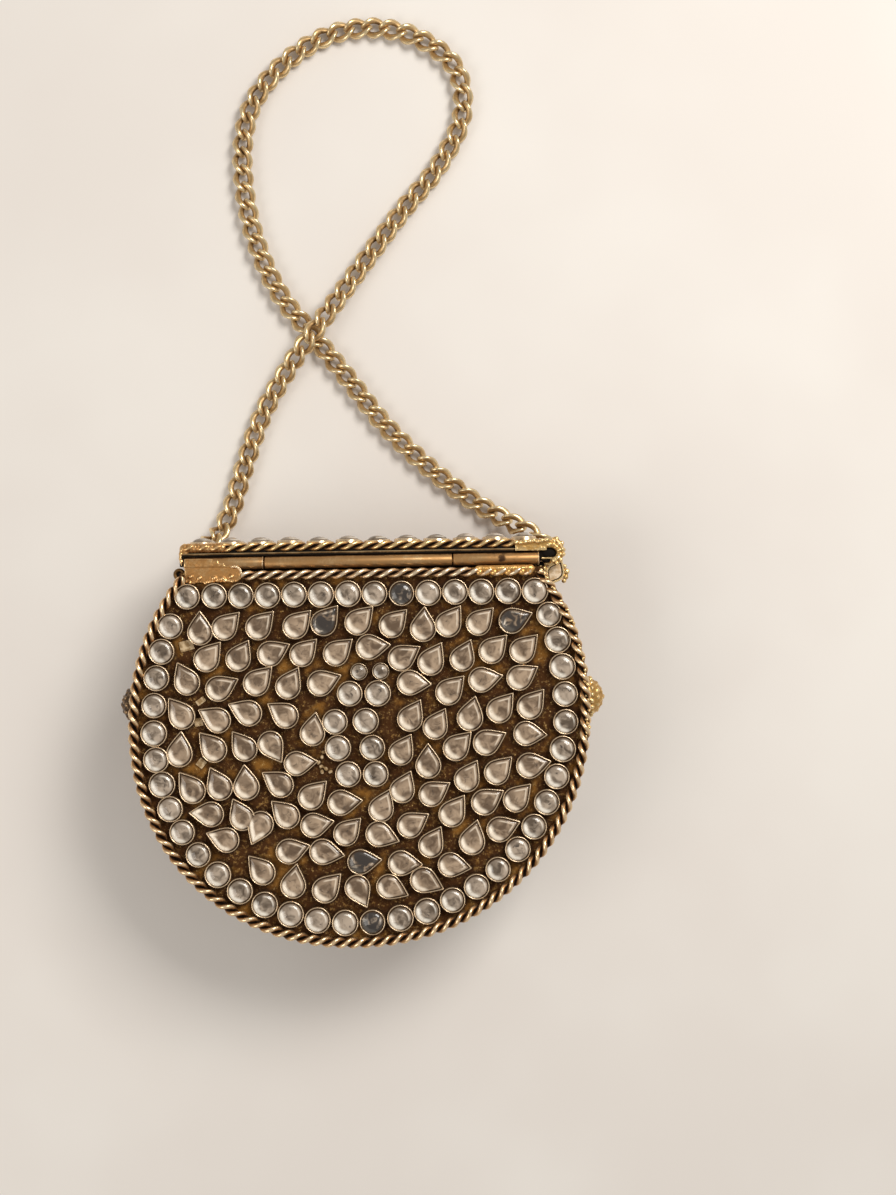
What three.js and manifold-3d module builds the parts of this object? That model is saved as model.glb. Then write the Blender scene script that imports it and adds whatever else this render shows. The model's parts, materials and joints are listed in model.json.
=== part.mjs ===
// Hard evening clutch of brass sheet: a deep D-shaped case and a lid whose flap covers the front.
// Cup-set stones cover it, twisted wire rope trims its edges, and a curb chain hangs from the lid.
// It lies on its front with its back up. The origin is the middle of the D, on the ground.
// X runs along the hinge, Y from the bottom of the bag to its lid, Z from the front to the back.
import * as THREE from 'three';
import { mergeVertices } from 'three/addons/utils/BufferGeometryUtils.js';
import Module from 'manifold-3d';

const wasm = await Module();
wasm.setup();

// Outline of the D, in millimetres.
const halfWidth = 75;
const halfHeight = 74.5;
const fullness = 2.08;
const lean = 0.029;
const shoulderY = 46.6;
const rimSteps = 44;

// Sheet metal, seams and depths.
const sheet = 1;
const seam = 0.3;
const bandDepth = 35;
const bandInset = 2.6;
const panelInset = 0.6;
const flapGap = 1.2;
const bendRadius = 10;
const mouthRise = 4.4;
const endPlateRise = 3.2;

// Stones in their cups.
const stoneRadius = 4.2;
const stoneTip = 7.4;
const stoneHeight = 3.8;
const lidStoneHeight = 4.6;
const crownShare = 0.72;
const stoneRoot = 0.3;
const smallStoneRadius = 2.7;
const borderInset = 8.6;
const borderTopStones = 14;
const borderRimStones = 32;
const borderTopDrop = 6.5;
const flapRimStones = 20;
const flapTopStones = 8;
const flapRowPitch = 16.5;
const flapColumnPitch = 18;
const lidRowStones = 12;
const lidRowPitch = 10.3;

// Twisted wire rope.
const ropeRadius = 1.6;
const ropeSeat = 0.25;
const rimRopePitch = 4.1;
const topRopePitch = 4.6;
const flapRopePitch = 8;
const topRopeStart = -37.5;
const topRopeEnd = 56.4;
const lidRopeEnd = 51;

// Barrel hinge.
const barrelRadius = 2.1;
const barrelBore = 1.2;
const pinRadius = 0.9;
const barrelSink = 1;
const hingeStart = -53.8;
const hingeFirstJoint = -30.3;
const hingeSecondJoint = 30.7;
const hingeEnd = 58.9;
const knuckleGap = 0.4;
const leafEnd = -40.3;
const leafReach = 5;
const barrelSteps = 8;

// Fittings on the ends and sides.
const bossRadius = 8;
const bossHeight = 8.4;
const bossY = 4.5;
const snapRadius = 6;
const snapSides = 16;
const snapThickness = 1.2;
const keeperThickness = 0.6;
const snapY = -45;
const liningWall = 1.2;
const lugHeight = 13;
const leftLugX = -53.5;
const leftLugRadius = 2.2;
const leftLugWire = 0.6;
const rightLugRadius = 3.2;
const rightLugWire = 0.9;
const lugPlate = 0.8;
const lugPlateReach = 3.6;
const granuleRadius = 0.9;
const capStripWidth = 3;
const capStripLength = 9;

// Curb chain.
const wireRadius = 0.65;
const linkPitch = 6.1;
const linkHalfWidth = 3.25;
const linkTwist = THREE.MathUtils.degToRad(65);
const linkOverlap = 1.1;
const linkSlack = 0.35;
const linksPerRun = 6;
const leftHookRoll = -30;
const rightHookRoll = 60;
const hookSlack = 0.8;
const chainLie = 2.15;
const chainCross = 6.6;

// Heights and places that follow from the sizes above.
const flapZ = stoneHeight;
const frontZ = flapZ + sheet + flapGap;
const bandZ = frontZ + sheet + seam;
const backZ = bandZ + bandDepth + seam;
const backFace = backZ + sheet;
const barrelZ = backFace - barrelSink;
const barrelY = shoulderY + ropeRadius + seam + barrelRadius;
const lidInnerY = barrelY + barrelRadius + seam;
const lidOuterY = lidInnerY + sheet;
const lidRopeY = lidOuterY + ropeSeat + ropeRadius;
const lidEdgeZ = barrelZ;
const backTopY = barrelY - barrelRadius - seam;
const endPlateY = shoulderY + endPlateRise;
const borderY = shoulderY - borderTopDrop;
const ropeBackZ = backFace + ropeSeat + ropeRadius;
const ropeFlapZ = flapZ - ropeSeat - ropeRadius;
const reach = 2 * halfWidth;

// Drops on the back, row by row from the hinge down, as x, y and the way the tip points in degrees.
const backDrops = [
  [[-51, 30, 90], [-42, 31, 45], [-31, 31, 45], [-19, 31, 45], [-10, 32, 50], [1, 32, 45]],
  [[12, 31, 45], [21, 30, 85], [30, 31, 55], [40, 31, 45], [51, 31, 20]],
  [[-48, 21, 50], [-38, 21, 60], [-27, 22, 25], [-17, 22, 45], [-6, 22, 40], [5, 23, 5]],
  [[15, 20, 30], [24, 19, 60], [34, 20, 65], [44, 22, 45], [54, 22, 45]],
  [[-56, 14, 115], [-44, 11, 25], [-32, 13, 45], [-22, 12, 60], [-11, 12, 20]],
  [[18, 11, -5], [30, 9, 45], [41, 12, 10], [53, 13, 30]],
  [[-58, 3, 125], [-47, 1, 150], [-37, 3, 155], [-25, 2, 145], [-15, -3, 80]],
  [[17, 1, 60], [25, -2, 60], [36, 1, 75], [46, 3, 50], [56, 4, 50]],
  [[-58, -9, 85], [-48, -8, 130], [-38, -8, 125], [-28, -9, -60], [-19, -14, 5]],
  [[14, -10, 60], [22, -14, 90], [32, -9, 45], [42, -8, 25], [55, -6, -5]],
  [[-55, -21, 125], [-46, -20, 115], [-37, -20, 95], [-27, -20, 145], [-15, -24, 45]],
  [[14, -22, 65], [24, -24, 30], [35, -19, 60], [45, -17, 45], [56, -16, 10]],
  [[-50, -30, 175], [-39, -30, 115], [-25, -30, 135], [-5, -27, 5], [7, -28, 65]],
  [[17, -34, 30], [30, -30, 55], [41, -27, 30], [51, -26, 45]],
  [[-45, -38, 160], [-33, -35, -115], [-14, -34, 10], [-4, -36, 45], [7, -38, -20]],
  [[23, -40, 60], [36, -39, 75], [46, -36, 20]],
  [[-33, -48, 130], [-22, -42, 15], [-11, -43, -10], [1, -46, 5], [14, -47, -5], [30, -48, -10]],
  [[-22, -52, 80], [-11, -54, 45], [-1, -56, -65], [10, -55, -25], [21, -53, -25]],
];

// Rounds in the middle of the back: two small ones, then four pairs.
const smallRounds = [[0, 15], [7, 15]];
const middleRounds = [[-3, 8], [6, 8], [-8, -1], [2, -1], [-7, -9.5], [4, -9.5], [-4, -18], [5, -18]];

// The chain between the two lugs, from the left one over itself, round its loop and back to the
// right one: x, y, height and roll in degrees.
const chainRoute = [
  [-50.5, 60.5, 8, -15], [-48.5, 64, 4, 0], [-45.5, 70, 2.5, 0],
  [-41, 84, chainLie, 0], [-34, 103, chainLie, 0], [-25, 118, 3.9, 0], [-16, 130, chainCross, 0],
  [-6, 144, 3.9, 0], [15, 172, chainLie, 0], [29, 189, chainLie, 0], [37, 206, chainLie, 0],
  [35, 222, chainLie, 0], [23, 233, chainLie, 0], [7, 238, chainLie, 0], [-9, 235, chainLie, 0],
  [-24, 225, chainLie, 0], [-35, 212, chainLie, 0], [-39, 199, chainLie, 0],
  [-39, 181, chainLie, 0], [-35, 162, chainLie, 0], [-27, 144, chainLie, 0],
  [-16, 130, chainLie, 0], [-5, 116, chainLie, 0], [8, 99, chainLie, 0], [24, 83, chainLie, 0],
  [41, 70, 3, 0], [50, 64.5, 6.6, 10], [57, 60.4, 11, 25],
];

// Finishes.
const brass = { color: 0x8a5a22, roughness: 0.42, metalness: 1 };
const darkBrass = { color: 0x4a2c10, roughness: 0.6, metalness: 0.8 };
const wornBrass = { color: 0xb98438, roughness: 0.35, metalness: 1 };
const chainGold = { color: 0xd9b36a, roughness: 0.28, metalness: 1 };
const velvet = { color: 0x231a16, roughness: 0.95, metalness: 0 };
const steel = { color: 0xa8a8a4, roughness: 0.4, metalness: 1 };

// Turns a closed geometry into a solid for joining and cutting, dropping faces without area.
function toSolid(geometry) {
  const bare = geometry.clone();
  bare.deleteAttribute('normal');
  bare.deleteAttribute('uv');
  const merged = mergeVertices(bare, 1e-4);
  const corners = merged.index.array;
  const kept = [];
  for (let i = 0; i < corners.length; i += 3) {
    const [a, b, c] = [corners[i], corners[i + 1], corners[i + 2]];
    if (a !== b && b !== c && c !== a) {
      kept.push(a, b, c);
    }
  }
  const vertProperties = new Float32Array(merged.attributes.position.array);
  const triVerts = new Uint32Array(kept);
  const mesh = new wasm.Mesh({ numProp: 3, vertProperties, triVerts });
  mesh.merge();
  return new wasm.Manifold(mesh);
}

// Turns a solid back into a geometry.
function toGeometry(solid) {
  const mesh = solid.getMesh();
  const geometry = new THREE.BufferGeometry();
  geometry.setAttribute('position', new THREE.BufferAttribute(new Float32Array(mesh.vertProperties), 3));
  geometry.setIndex(new THREE.BufferAttribute(new Uint32Array(mesh.triVerts), 1));
  geometry.computeVertexNormals();
  return geometry;
}

// Joins many closed geometries into one solid.
function joined(geometries) {
  return wasm.Manifold.union(geometries.map(toSolid));
}

const clutch = new THREE.Group();

function addPiece(name, solid, finish) {
  const mesh = new THREE.Mesh(toGeometry(solid), new THREE.MeshStandardMaterial(finish));
  mesh.name = name;
  clutch.add(mesh);
  return mesh;
}

// Half the width of the D at a height, before the lean.
function halfAt(y, inset) {
  const share = (Math.abs(y) / (halfHeight - inset)) ** fullness;
  return (halfWidth - inset) * (1 - share) ** (1 / fullness);
}

// The round part of the D, from the given height on the right down and round to the left.
function rimLine(inset, steps, top = shoulderY) {
  const b = halfHeight - inset;
  const start = Math.asin((top / b) ** (fullness / 2));
  const sweep = Math.PI + 2 * start;
  const points = [];
  for (let i = 0; i <= steps; i += 1) {
    const angle = start - (sweep * i) / steps;
    const c = Math.cos(angle);
    const s = Math.sin(angle);
    const x = Math.sign(c) * (halfWidth - inset) * Math.abs(c) ** (2 / fullness);
    const y = Math.sign(s) * b * Math.abs(s) ** (2 / fullness);
    points.push(new THREE.Vector2(x + lean * y, y));
  }
  return points;
}

// The whole D as a shape: round below the shoulders, straight above them up to the given top.
function dShape(inset, top) {
  const points = rimLine(inset, rimSteps);
  const half = halfAt(shoulderY, inset);
  points.push(new THREE.Vector2(-half + lean * top, top));
  points.push(new THREE.Vector2(half + lean * top, top));
  return new THREE.Shape(points);
}

function slab(shape, z, depth) {
  return new THREE.ExtrudeGeometry(shape, { depth, bevelEnabled: false }).translate(0, 0, z);
}

function box(x0, x1, y0, y1, z0, z1) {
  const geometry = new THREE.BoxGeometry(x1 - x0, y1 - y0, z1 - z0);
  return geometry.translate((x0 + x1) / 2, (y0 + y1) / 2, (z0 + z1) / 2);
}

// A bar along X with a profile drawn in Y and Z.
function bar(profile, x0, x1, curveSegments = 5) {
  const geometry = new THREE.ExtrudeGeometry(profile, { depth: x1 - x0, bevelEnabled: false, curveSegments });
  const turn = new THREE.Matrix4().set(0, 0, 1, x0, 1, 0, 0, 0, 0, 1, 0, 0, 0, 0, 0, 1);
  return geometry.applyMatrix4(turn);
}

// A stone in its cup, standing on the XY plane: round, or a drop with its tip along X.
function stone(radius, tip, height, sides) {
  const outline = [];
  for (let i = 0; i < sides; i += 1) {
    const angle = (2 * Math.PI * i) / sides;
    const reachOut = i === 0 ? tip : radius;
    outline.push(new THREE.Vector2(reachOut * Math.cos(angle), reachOut * Math.sin(angle)));
  }
  const depth = height + stoneRoot;
  const geometry = new THREE.ExtrudeGeometry(new THREE.Shape(outline), { depth, bevelEnabled: false });
  const place = geometry.attributes.position;
  for (let i = 0; i < place.count; i += 1) {
    if (place.getZ(i) > depth / 2) {
      place.setXY(i, place.getX(i) * crownShare, place.getY(i) * crownShare);
    }
  }
  return geometry.translate(-(tip - radius) / 2, 0, -stoneRoot);
}

const roundSides = 7;
const dropSides = 6;

function roundStone(radius, height) {
  return stone(radius, radius, height, roundSides);
}

function dropStone(height) {
  return stone(stoneRadius, stoneTip, height, dropSides);
}

// A stone set on a face that looks along +Z, at the given turn.
function setOnBack(geometry, x, y, degrees) {
  return geometry.rotateZ(THREE.MathUtils.degToRad(degrees)).translate(x, y, backFace);
}

// The same on the flap, which looks down.
function setOnFlap(geometry, x, y, degrees) {
  return geometry.rotateZ(THREE.MathUtils.degToRad(-degrees)).rotateX(Math.PI).translate(x, y, flapZ);
}

// A smooth curve along the round part of the D.
function rimCurve(inset, z, top = shoulderY) {
  const line = rimLine(inset, rimSteps * 2, top).map((p) => new THREE.Vector3(p.x, p.y, z));
  const curve = new THREE.CatmullRomCurve3(line);
  curve.arcLengthDivisions = rimSteps * 8;
  return curve;
}

// Places spread evenly along the border: its straight top, then its round part.
function spreadOnBorder(topCount, rimCount) {
  const half = halfAt(borderY, borderInset);
  const curve = rimCurve(borderInset, 0, borderY);
  const places = [];
  for (let i = 0; i < topCount; i += 1) {
    places.push(new THREE.Vector3(half * ((2 * i) / (topCount - 1) - 1) + lean * borderY, borderY, 0));
  }
  for (let i = 1; i <= rimCount; i += 1) {
    places.push(curve.getPointAt(i / (rimCount + 1)));
  }
  return places;
}

// Twisted wire rope along a level curve: three lobes that turn to the left as they go.
function rope(curve, pitch) {
  const length = curve.getLength();
  const bumps = Math.round(length / pitch);
  const geometry = new THREE.CylinderGeometry(ropeRadius, ropeRadius, length, 3, bumps * 2);
  const place = geometry.attributes.position;
  const up = new THREE.Vector3(0, 0, 1);
  for (let i = 0; i < place.count; i += 1) {
    const along = THREE.MathUtils.clamp(place.getY(i) / length + 0.5, 0, 1);
    const turn = (-along * bumps * 2 * Math.PI) / 3;
    const x = place.getX(i) * Math.cos(turn) + place.getZ(i) * Math.sin(turn);
    const z = place.getZ(i) * Math.cos(turn) - place.getX(i) * Math.sin(turn);
    const middle = curve.getPointAt(along);
    const side = curve.getTangentAt(along).cross(up).normalize();
    place.setXYZ(i, middle.x + side.x * x, middle.y + side.y * x, middle.z + z);
  }
  return toSolid(geometry);
}

function straightLine(x0, x1, y, z) {
  return new THREE.LineCurve3(new THREE.Vector3(x0, y, z), new THREE.Vector3(x1, y, z));
}

// Back panel with its border of rounds, its rows of drops and the rounds in the middle.
const backStones = [];
for (const p of spreadOnBorder(borderTopStones, borderRimStones)) {
  backStones.push(setOnBack(roundStone(stoneRadius, stoneHeight), p.x, p.y, 0));
}
for (const [x, y, tip] of backDrops.flat()) {
  backStones.push(setOnBack(dropStone(stoneHeight), x, y, tip));
}
for (const [x, y] of middleRounds) {
  backStones.push(setOnBack(roundStone(stoneRadius, stoneHeight), x, y, 0));
}
for (const [x, y] of smallRounds) {
  backStones.push(setOnBack(roundStone(smallStoneRadius, stoneHeight), x, y, 0));
}
const backSheet = slab(dShape(panelInset, backTopY), backZ, sheet);
addPiece('back_panel', joined([backSheet, ...backStones]), brass);

// Front panel under the flap.
addPiece('front_panel', toSolid(slab(dShape(bandInset, shoulderY), frontZ, sheet)), brass);

// Side band: a strip bent to the D, open at the top, its ends standing up into the lid.
const bandTop = shoulderY + mouthRise;
const bandOuter = toSolid(slab(dShape(bandInset, bandTop), bandZ, bandDepth));
const bandInner = toSolid(slab(dShape(bandInset + sheet, bandTop + sheet), bandZ - sheet, bandDepth + 2 * sheet));
const barrelRoom = toSolid(
  box(-reach, reach, shoulderY + sheet, bandTop + sheet, barrelZ - barrelRadius - sheet, backFace),
);
const bendRoom = new THREE.Shape();
bendRoom.moveTo(-reach, bandZ - sheet);
bendRoom.lineTo(lidOuterY - bendRadius, bandZ - sheet);
bendRoom.absarc(
  lidOuterY - bendRadius, flapZ + bendRadius, bendRadius - 2 * sheet, -Math.PI / 2, 0, false,
);
bendRoom.lineTo(lidInnerY - sheet, backFace);
bendRoom.lineTo(-reach, backFace);
const band = bandOuter.subtract(bandInner).subtract(barrelRoom).intersect(toSolid(bar(bendRoom, -reach, reach)));
addPiece('side_band', band, darkBrass);

// Lining: a pocket of the D, open at the mouth.
const liningInset = bandInset + sheet + seam;
const liningZ = bandZ + snapThickness + seam;
const liningDepth = bandZ + bandDepth - liningZ;
const liningOuter = toSolid(slab(dShape(liningInset, shoulderY), liningZ, liningDepth));
const liningInner = toSolid(
  slab(dShape(liningInset + liningWall, shoulderY + sheet), liningZ + liningWall, liningDepth - 2 * liningWall),
);
addPiece('case_lining', liningOuter.subtract(liningInner), velvet);

// Rope round the back's rim and along its straight top.
addPiece('rope_back_rim', rope(rimCurve(ropeRadius, ropeBackZ), rimRopePitch), wornBrass);
addPiece('rope_back_top', rope(straightLine(topRopeStart, topRopeEnd, shoulderY, ropeBackZ), topRopePitch), wornBrass);

// Room kept clear round the band for what is soldered to its outside.
const besideBand = toSolid(slab(dShape(bandInset - seam, bandTop), bandZ - sheet, bandDepth + 2 * sheet));

// Domed bosses on the two sides of the band.
function sideBoss(name, side) {
  const profile = [[0, -0.2], [1, -0.2], [1, 0.2], [0.86, 0.3], [0.8, 0.5], [0.6, 0.82], [0.3, 0.96], [0, 1]];
  const points = profile.map(([r, h]) => new THREE.Vector2(r * bossRadius, h * bossHeight));
  const geometry = new THREE.LatheGeometry(points, 14);
  geometry.rotateZ((-side * Math.PI) / 2);
  geometry.translate(side * (halfAt(bossY, bandInset) + seam) + lean * bossY, bossY, bandZ + bandDepth / 2);
  addPiece(name, toSolid(geometry).subtract(besideBand), wornBrass);
}
sideBoss('side_boss_left', -1);
sideBoss('side_boss_right', 1);

// Leaf-shaped empty setting outside the right shoulder, and a small wire eye at the left one.
const cornerZ = barrelZ - 5;
const bandShoulder = halfAt(shoulderY, bandInset);
const leafLength = 9.4;
const leafWidth = 7.2;
const leafThickness = 2.4;
const leafWall = 0.9;
const leafSteps = 6;
function leafShape(shrink) {
  const shape = new THREE.Shape();
  const half = leafLength / 2 - shrink;
  const wide = leafWidth / 2 - shrink;
  shape.moveTo(-half, 0);
  shape.quadraticCurveTo(-half * 0.2, -wide * 1.6, half, 0);
  shape.quadraticCurveTo(-half * 0.2, wide * 1.6, -half, 0);
  return shape;
}
const leafX = bandShoulder + lean * shoulderY + 2 * seam + leafLength / 2;
const leafY = shoulderY - leafWidth / 5;
function leafSolid(shrink, z) {
  const options = { depth: leafThickness, bevelEnabled: false, curveSegments: leafSteps };
  return toSolid(new THREE.ExtrudeGeometry(leafShape(shrink), options).translate(leafX, leafY, cornerZ + z));
}
const leaf = leafSolid(0, 0).subtract(leafSolid(leafWall, leafWall)).subtract(besideBand);
addPiece('corner_leaf_right', leaf, wornBrass);

const eyeRadius = 1.5;
const eyeWire = 0.6;
const eye = new THREE.TorusGeometry(eyeRadius, eyeWire, 5, 10);
eye.translate(-(bandShoulder + 3 * seam + eyeRadius + eyeWire) + lean * shoulderY, endPlateY - seam - eyeRadius - eyeWire, cornerZ + 3);
addPiece('corner_eye_left', toSolid(eye), darkBrass);

// Hidden magnetic snap: the magnet inside the front panel, its keeper on the flap.
const magnet = new THREE.CylinderGeometry(snapRadius, snapRadius, snapThickness, snapSides).rotateX(Math.PI / 2);
magnet.translate(lean * snapY, snapY, bandZ + snapThickness / 2 - seam / 2);
addPiece('snap_magnet', toSolid(magnet), steel);
const keeper = new THREE.CylinderGeometry(snapRadius, snapRadius, keeperThickness, snapSides).rotateX(Math.PI / 2);
keeper.translate(lean * snapY, snapY, flapZ + sheet + flapGap / 2);
addPiece('snap_keeper', toSolid(keeper), steel);

// Hinge: three knuckles of rolled sheet on one pin. The left one keeps its leaf on the back.
function knuckle(x0, x1) {
  const ring = new THREE.Shape();
  ring.absarc(barrelY, barrelZ, barrelRadius, 0, 2 * Math.PI, false);
  const bore = new THREE.Path();
  bore.absarc(barrelY, barrelZ, barrelBore, 0, 2 * Math.PI, true);
  ring.holes.push(bore);
  return toSolid(bar(ring, x0, x1, barrelSteps));
}
const leafTop = barrelZ + barrelRadius;
const hingeLeaf = toSolid(
  box(hingeStart, leafEnd, barrelY - leafReach - sheet, barrelY - 0.2, backFace + seam, leafTop),
);
const pinHole = toSolid(
  new THREE.CylinderGeometry(barrelBore, barrelBore, reach, barrelSteps * 2).rotateZ(Math.PI / 2)
    .translate(hingeStart, barrelY, barrelZ),
);
addPiece('hinge_knuckle_left', knuckle(hingeStart, hingeFirstJoint).add(hingeLeaf.subtract(pinHole)), wornBrass);
addPiece('hinge_knuckle_middle', knuckle(hingeFirstJoint + knuckleGap, hingeSecondJoint), brass);
addPiece('hinge_knuckle_right', knuckle(hingeSecondJoint + knuckleGap, hingeEnd), wornBrass);
const pin = new THREE.CylinderGeometry(pinRadius, pinRadius, hingeEnd - hingeStart, barrelSteps).rotateZ(Math.PI / 2);
addPiece('hinge_pin', toSolid(pin.translate((hingeStart + hingeEnd) / 2, barrelY, barrelZ)), brass);

// Lid: one sheet that is the flap over the front, bends round and is the top plate.
function bentSheet(outerY, outerZ, radius, top) {
  const shape = new THREE.Shape();
  shape.moveTo(-reach, outerZ);
  shape.lineTo(outerY - radius, outerZ);
  shape.absarc(outerY - radius, outerZ + radius, radius, -Math.PI / 2, 0, false);
  shape.lineTo(outerY, top);
  return shape;
}
const lidSection = bentSheet(lidOuterY, flapZ, bendRadius, lidEdgeZ);
lidSection.lineTo(lidInnerY, lidEdgeZ);
lidSection.lineTo(lidInnerY, flapZ + bendRadius);
lidSection.absarc(
  lidOuterY - bendRadius, flapZ + bendRadius, bendRadius - sheet, 0, -Math.PI / 2, true,
);
lidSection.lineTo(-reach, flapZ + sheet);
const lidBlock = toSolid(slab(dShape(panelInset, lidOuterY + sheet), 0, backFace));
const lidSheet = toSolid(bar(lidSection, -reach, reach)).intersect(lidBlock);

// End plates close the lid's two ends.
const endSection = bentSheet(lidOuterY, flapZ, bendRadius, lidEdgeZ);
endSection.lineTo(-reach, lidEdgeZ);
const endBlock = toSolid(slab(dShape(panelInset, lidOuterY + sheet), 0, backFace));
const endCore = toSolid(slab(dShape(panelInset + sheet, lidOuterY + 2 * sheet), -sheet, backFace + 2 * sheet));
const endRoom = toSolid(box(-reach, reach, endPlateY, reach, flapZ, backFace));
const endPlates = toSolid(bar(endSection, -reach, reach)).intersect(endBlock).subtract(endCore).intersect(endRoom);

// The flap's border of rounds, its rows of drops, and two rows of rounds on the lid's top.
const lidStones = [];
for (const p of spreadOnBorder(flapTopStones, flapRimStones)) {
  lidStones.push(setOnFlap(roundStone(stoneRadius, stoneHeight), p.x, p.y, 0));
}
const flapField = halfWidth - borderInset - 2 * stoneTip;
for (let row = -3; row <= 1; row += 1) {
  for (let column = -3; column <= 3; column += 1) {
    const y = row * flapRowPitch;
    const x = (column + (row % 2 === 0 ? 0 : 0.5)) * flapColumnPitch;
    if (Math.hypot(x, y) < flapField) {
      const geometry = row === 0 && column === 0 ? roundStone(stoneRadius, stoneHeight) : dropStone(stoneHeight);
      lidStones.push(setOnFlap(geometry, x + lean * y, y, 90));
    }
  }
}
const lidRowZ = lidEdgeZ - 2 * ropeRadius - seam - stoneRadius;
const lidRowHalf = halfAt(shoulderY, panelInset) - stoneRadius - 2 * sheet;
for (let row = 0; row < 2; row += 1) {
  for (let i = 0; i < lidRowStones; i += 1) {
    const x = lidRowHalf * ((2 * i) / (lidRowStones - 1) - 1) + lean * lidOuterY;
    const geometry = roundStone(stoneRadius, lidStoneHeight).rotateX(-Math.PI / 2);
    lidStones.push(geometry.translate(x, lidOuterY, lidRowZ - row * lidRowPitch));
  }
}
addPiece('lid_shell', joined(lidStones).add(lidSheet).add(endPlates), brass);

// Rope along the lid's back edge and round the flap.
const lidLeft = -halfAt(shoulderY, panelInset) + lean * lidOuterY;
const lidRight = halfAt(shoulderY, panelInset) + lean * lidOuterY;
const lidRopeZ = lidEdgeZ - ropeRadius;
addPiece('rope_lid_back', rope(straightLine(lidLeft + 2.2, lidRopeEnd, lidRopeY, lidRopeZ), topRopePitch), wornBrass);
addPiece('rope_flap_rim', rope(rimCurve(ropeRadius, ropeFlapZ), flapRopePitch), brass);

// Strip soldered over the lid's right corner, and the rounded tip that closes the rope on the left.
const strip = box(
  lidRight - capStripLength, lidRight + 0.4, lidInnerY + seam, lidInnerY + seam + capStripWidth,
  lidEdgeZ + seam, lidEdgeZ + seam + sheet * 0.8,
);
addPiece('lid_cap_strip', toSolid(strip), wornBrass);
const tip = new THREE.SphereGeometry(1, 8, 6);
tip.scale(1, ropeRadius, ropeRadius);
tip.translate(lidLeft + 0.9, lidRopeY, lidRopeZ);
addPiece('lid_rope_tip', toSolid(tip), darkBrass);

// A curb link: an oval of wire, twisted about its length so that the chain lies flat.
function linkGeometry(left, right, width, twist) {
  const geometry = new THREE.TorusGeometry(1, wireRadius, 4, 6);
  const place = geometry.attributes.position;
  for (let i = 0; i < place.count; i += 1) {
    const [x, y, z] = [place.getX(i), place.getY(i), place.getZ(i)];
    const across = Math.hypot(x, y) - 1;
    const c = x / Math.hypot(x, y);
    const s = y / Math.hypot(x, y);
    const half = c > 0 ? right : left;
    const out = new THREE.Vector2(c / half, s / width).normalize();
    const flat = new THREE.Vector2(half * c + out.x * across, width * s + out.y * across);
    const turn = (twist * flat.x) / half;
    place.setXYZ(
      i, flat.x, flat.y * Math.cos(turn) - z * Math.sin(turn), flat.y * Math.sin(turn) + z * Math.cos(turn),
    );
  }
  return geometry;
}

// The two lugs: a wire ring on the lid's top plate, a thick beaded one on its right end plate.
const nearPoint = new THREE.Vector3(...chainRoute[0]);
const farPoint = new THREE.Vector3(...chainRoute[chainRoute.length - 1]);
const leftRingY = lidOuterY + seam + lugPlate + leftLugRadius;
const leftRing = new THREE.Vector3(leftLugX, leftRingY, lugHeight);
const rightRing = new THREE.Vector3(lidRight + seam + lugPlate + rightLugRadius, lidOuterY + seam, lugHeight);
const leftPull = nearPoint.clone().sub(leftRing).normalize();
const rightPull = farPoint.clone().sub(rightRing).setZ(0).normalize();

// A ring of wire that holds the direction of the pull in its plane.
function lugRing(centre, pull, across, radius, wire) {
  const geometry = new THREE.TorusGeometry(radius, wire, 6, 12);
  const other = new THREE.Vector3().crossVectors(across, pull);
  return geometry.applyMatrix4(new THREE.Matrix4().makeBasis(pull, other, across).setPosition(centre));
}
const leftAcross = new THREE.Vector3().crossVectors(leftPull, new THREE.Vector3(0, 1, 0)).normalize();
const leftPlate = box(
  leftLugX - lugPlateReach / 2, leftLugX + lugPlateReach / 2, lidOuterY + seam,
  lidOuterY + seam + lugPlate, lugHeight - 1, lugHeight + lugPlateReach,
);
const leftLug = joined([leftPlate, lugRing(leftRing, leftPull, leftAcross, leftLugRadius, leftLugWire)]);
addPiece('chain_lug_left', leftLug, chainGold);
const rightPlate = box(
  lidRight + seam, lidRight + seam + lugPlate, endPlateY, lidOuterY,
  lugHeight - lugPlateReach, lugHeight + lugPlateReach,
);
const ornament = [rightPlate, lugRing(rightRing, rightPull, new THREE.Vector3(0, 0, 1), rightLugRadius, rightLugWire)];
for (const degrees of [-75, -40, -5, 30, 65]) {
  const angle = THREE.MathUtils.degToRad(degrees);
  const granule = new THREE.IcosahedronGeometry(granuleRadius);
  const out = rightLugRadius + rightLugWire;
  ornament.push(granule.translate(
    rightRing.x + out * Math.cos(angle), rightRing.y + out * Math.sin(angle), rightRing.z,
  ));
}
addPiece('end_ornament_right', joined(ornament), wornBrass);

// Where the chain's line ends, so that its end links hang in the rings with a small clearance.
function hookPoint(centre, pull, radius, wire) {
  return centre.clone().addScaledVector(pull, radius - wire - wireRadius - hookSlack + linkOverlap / 2);
}
const leftHook = hookPoint(leftRing, leftPull, leftLugRadius, leftLugWire);
const rightHook = hookPoint(rightRing, rightPull, rightLugRadius, rightLugWire);
const chainPoints = chainRoute.map(([x, y, z]) => new THREE.Vector3(x, y, z));
const chainRolls = [leftHookRoll, ...chainRoute.map((point) => point[3]), rightHookRoll];

// The chain's line and the frame of a point on it, with its roll.
const chainCurve = new THREE.CatmullRomCurve3([leftHook, ...chainPoints, rightHook], false, 'centripetal');
chainCurve.arcLengthDivisions = 1200;
const linkCount = Math.round(chainCurve.getLength() / linkPitch);
const pitch = chainCurve.getLength() / linkCount;
const linkHalf = (pitch + linkOverlap) / 2;

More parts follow.
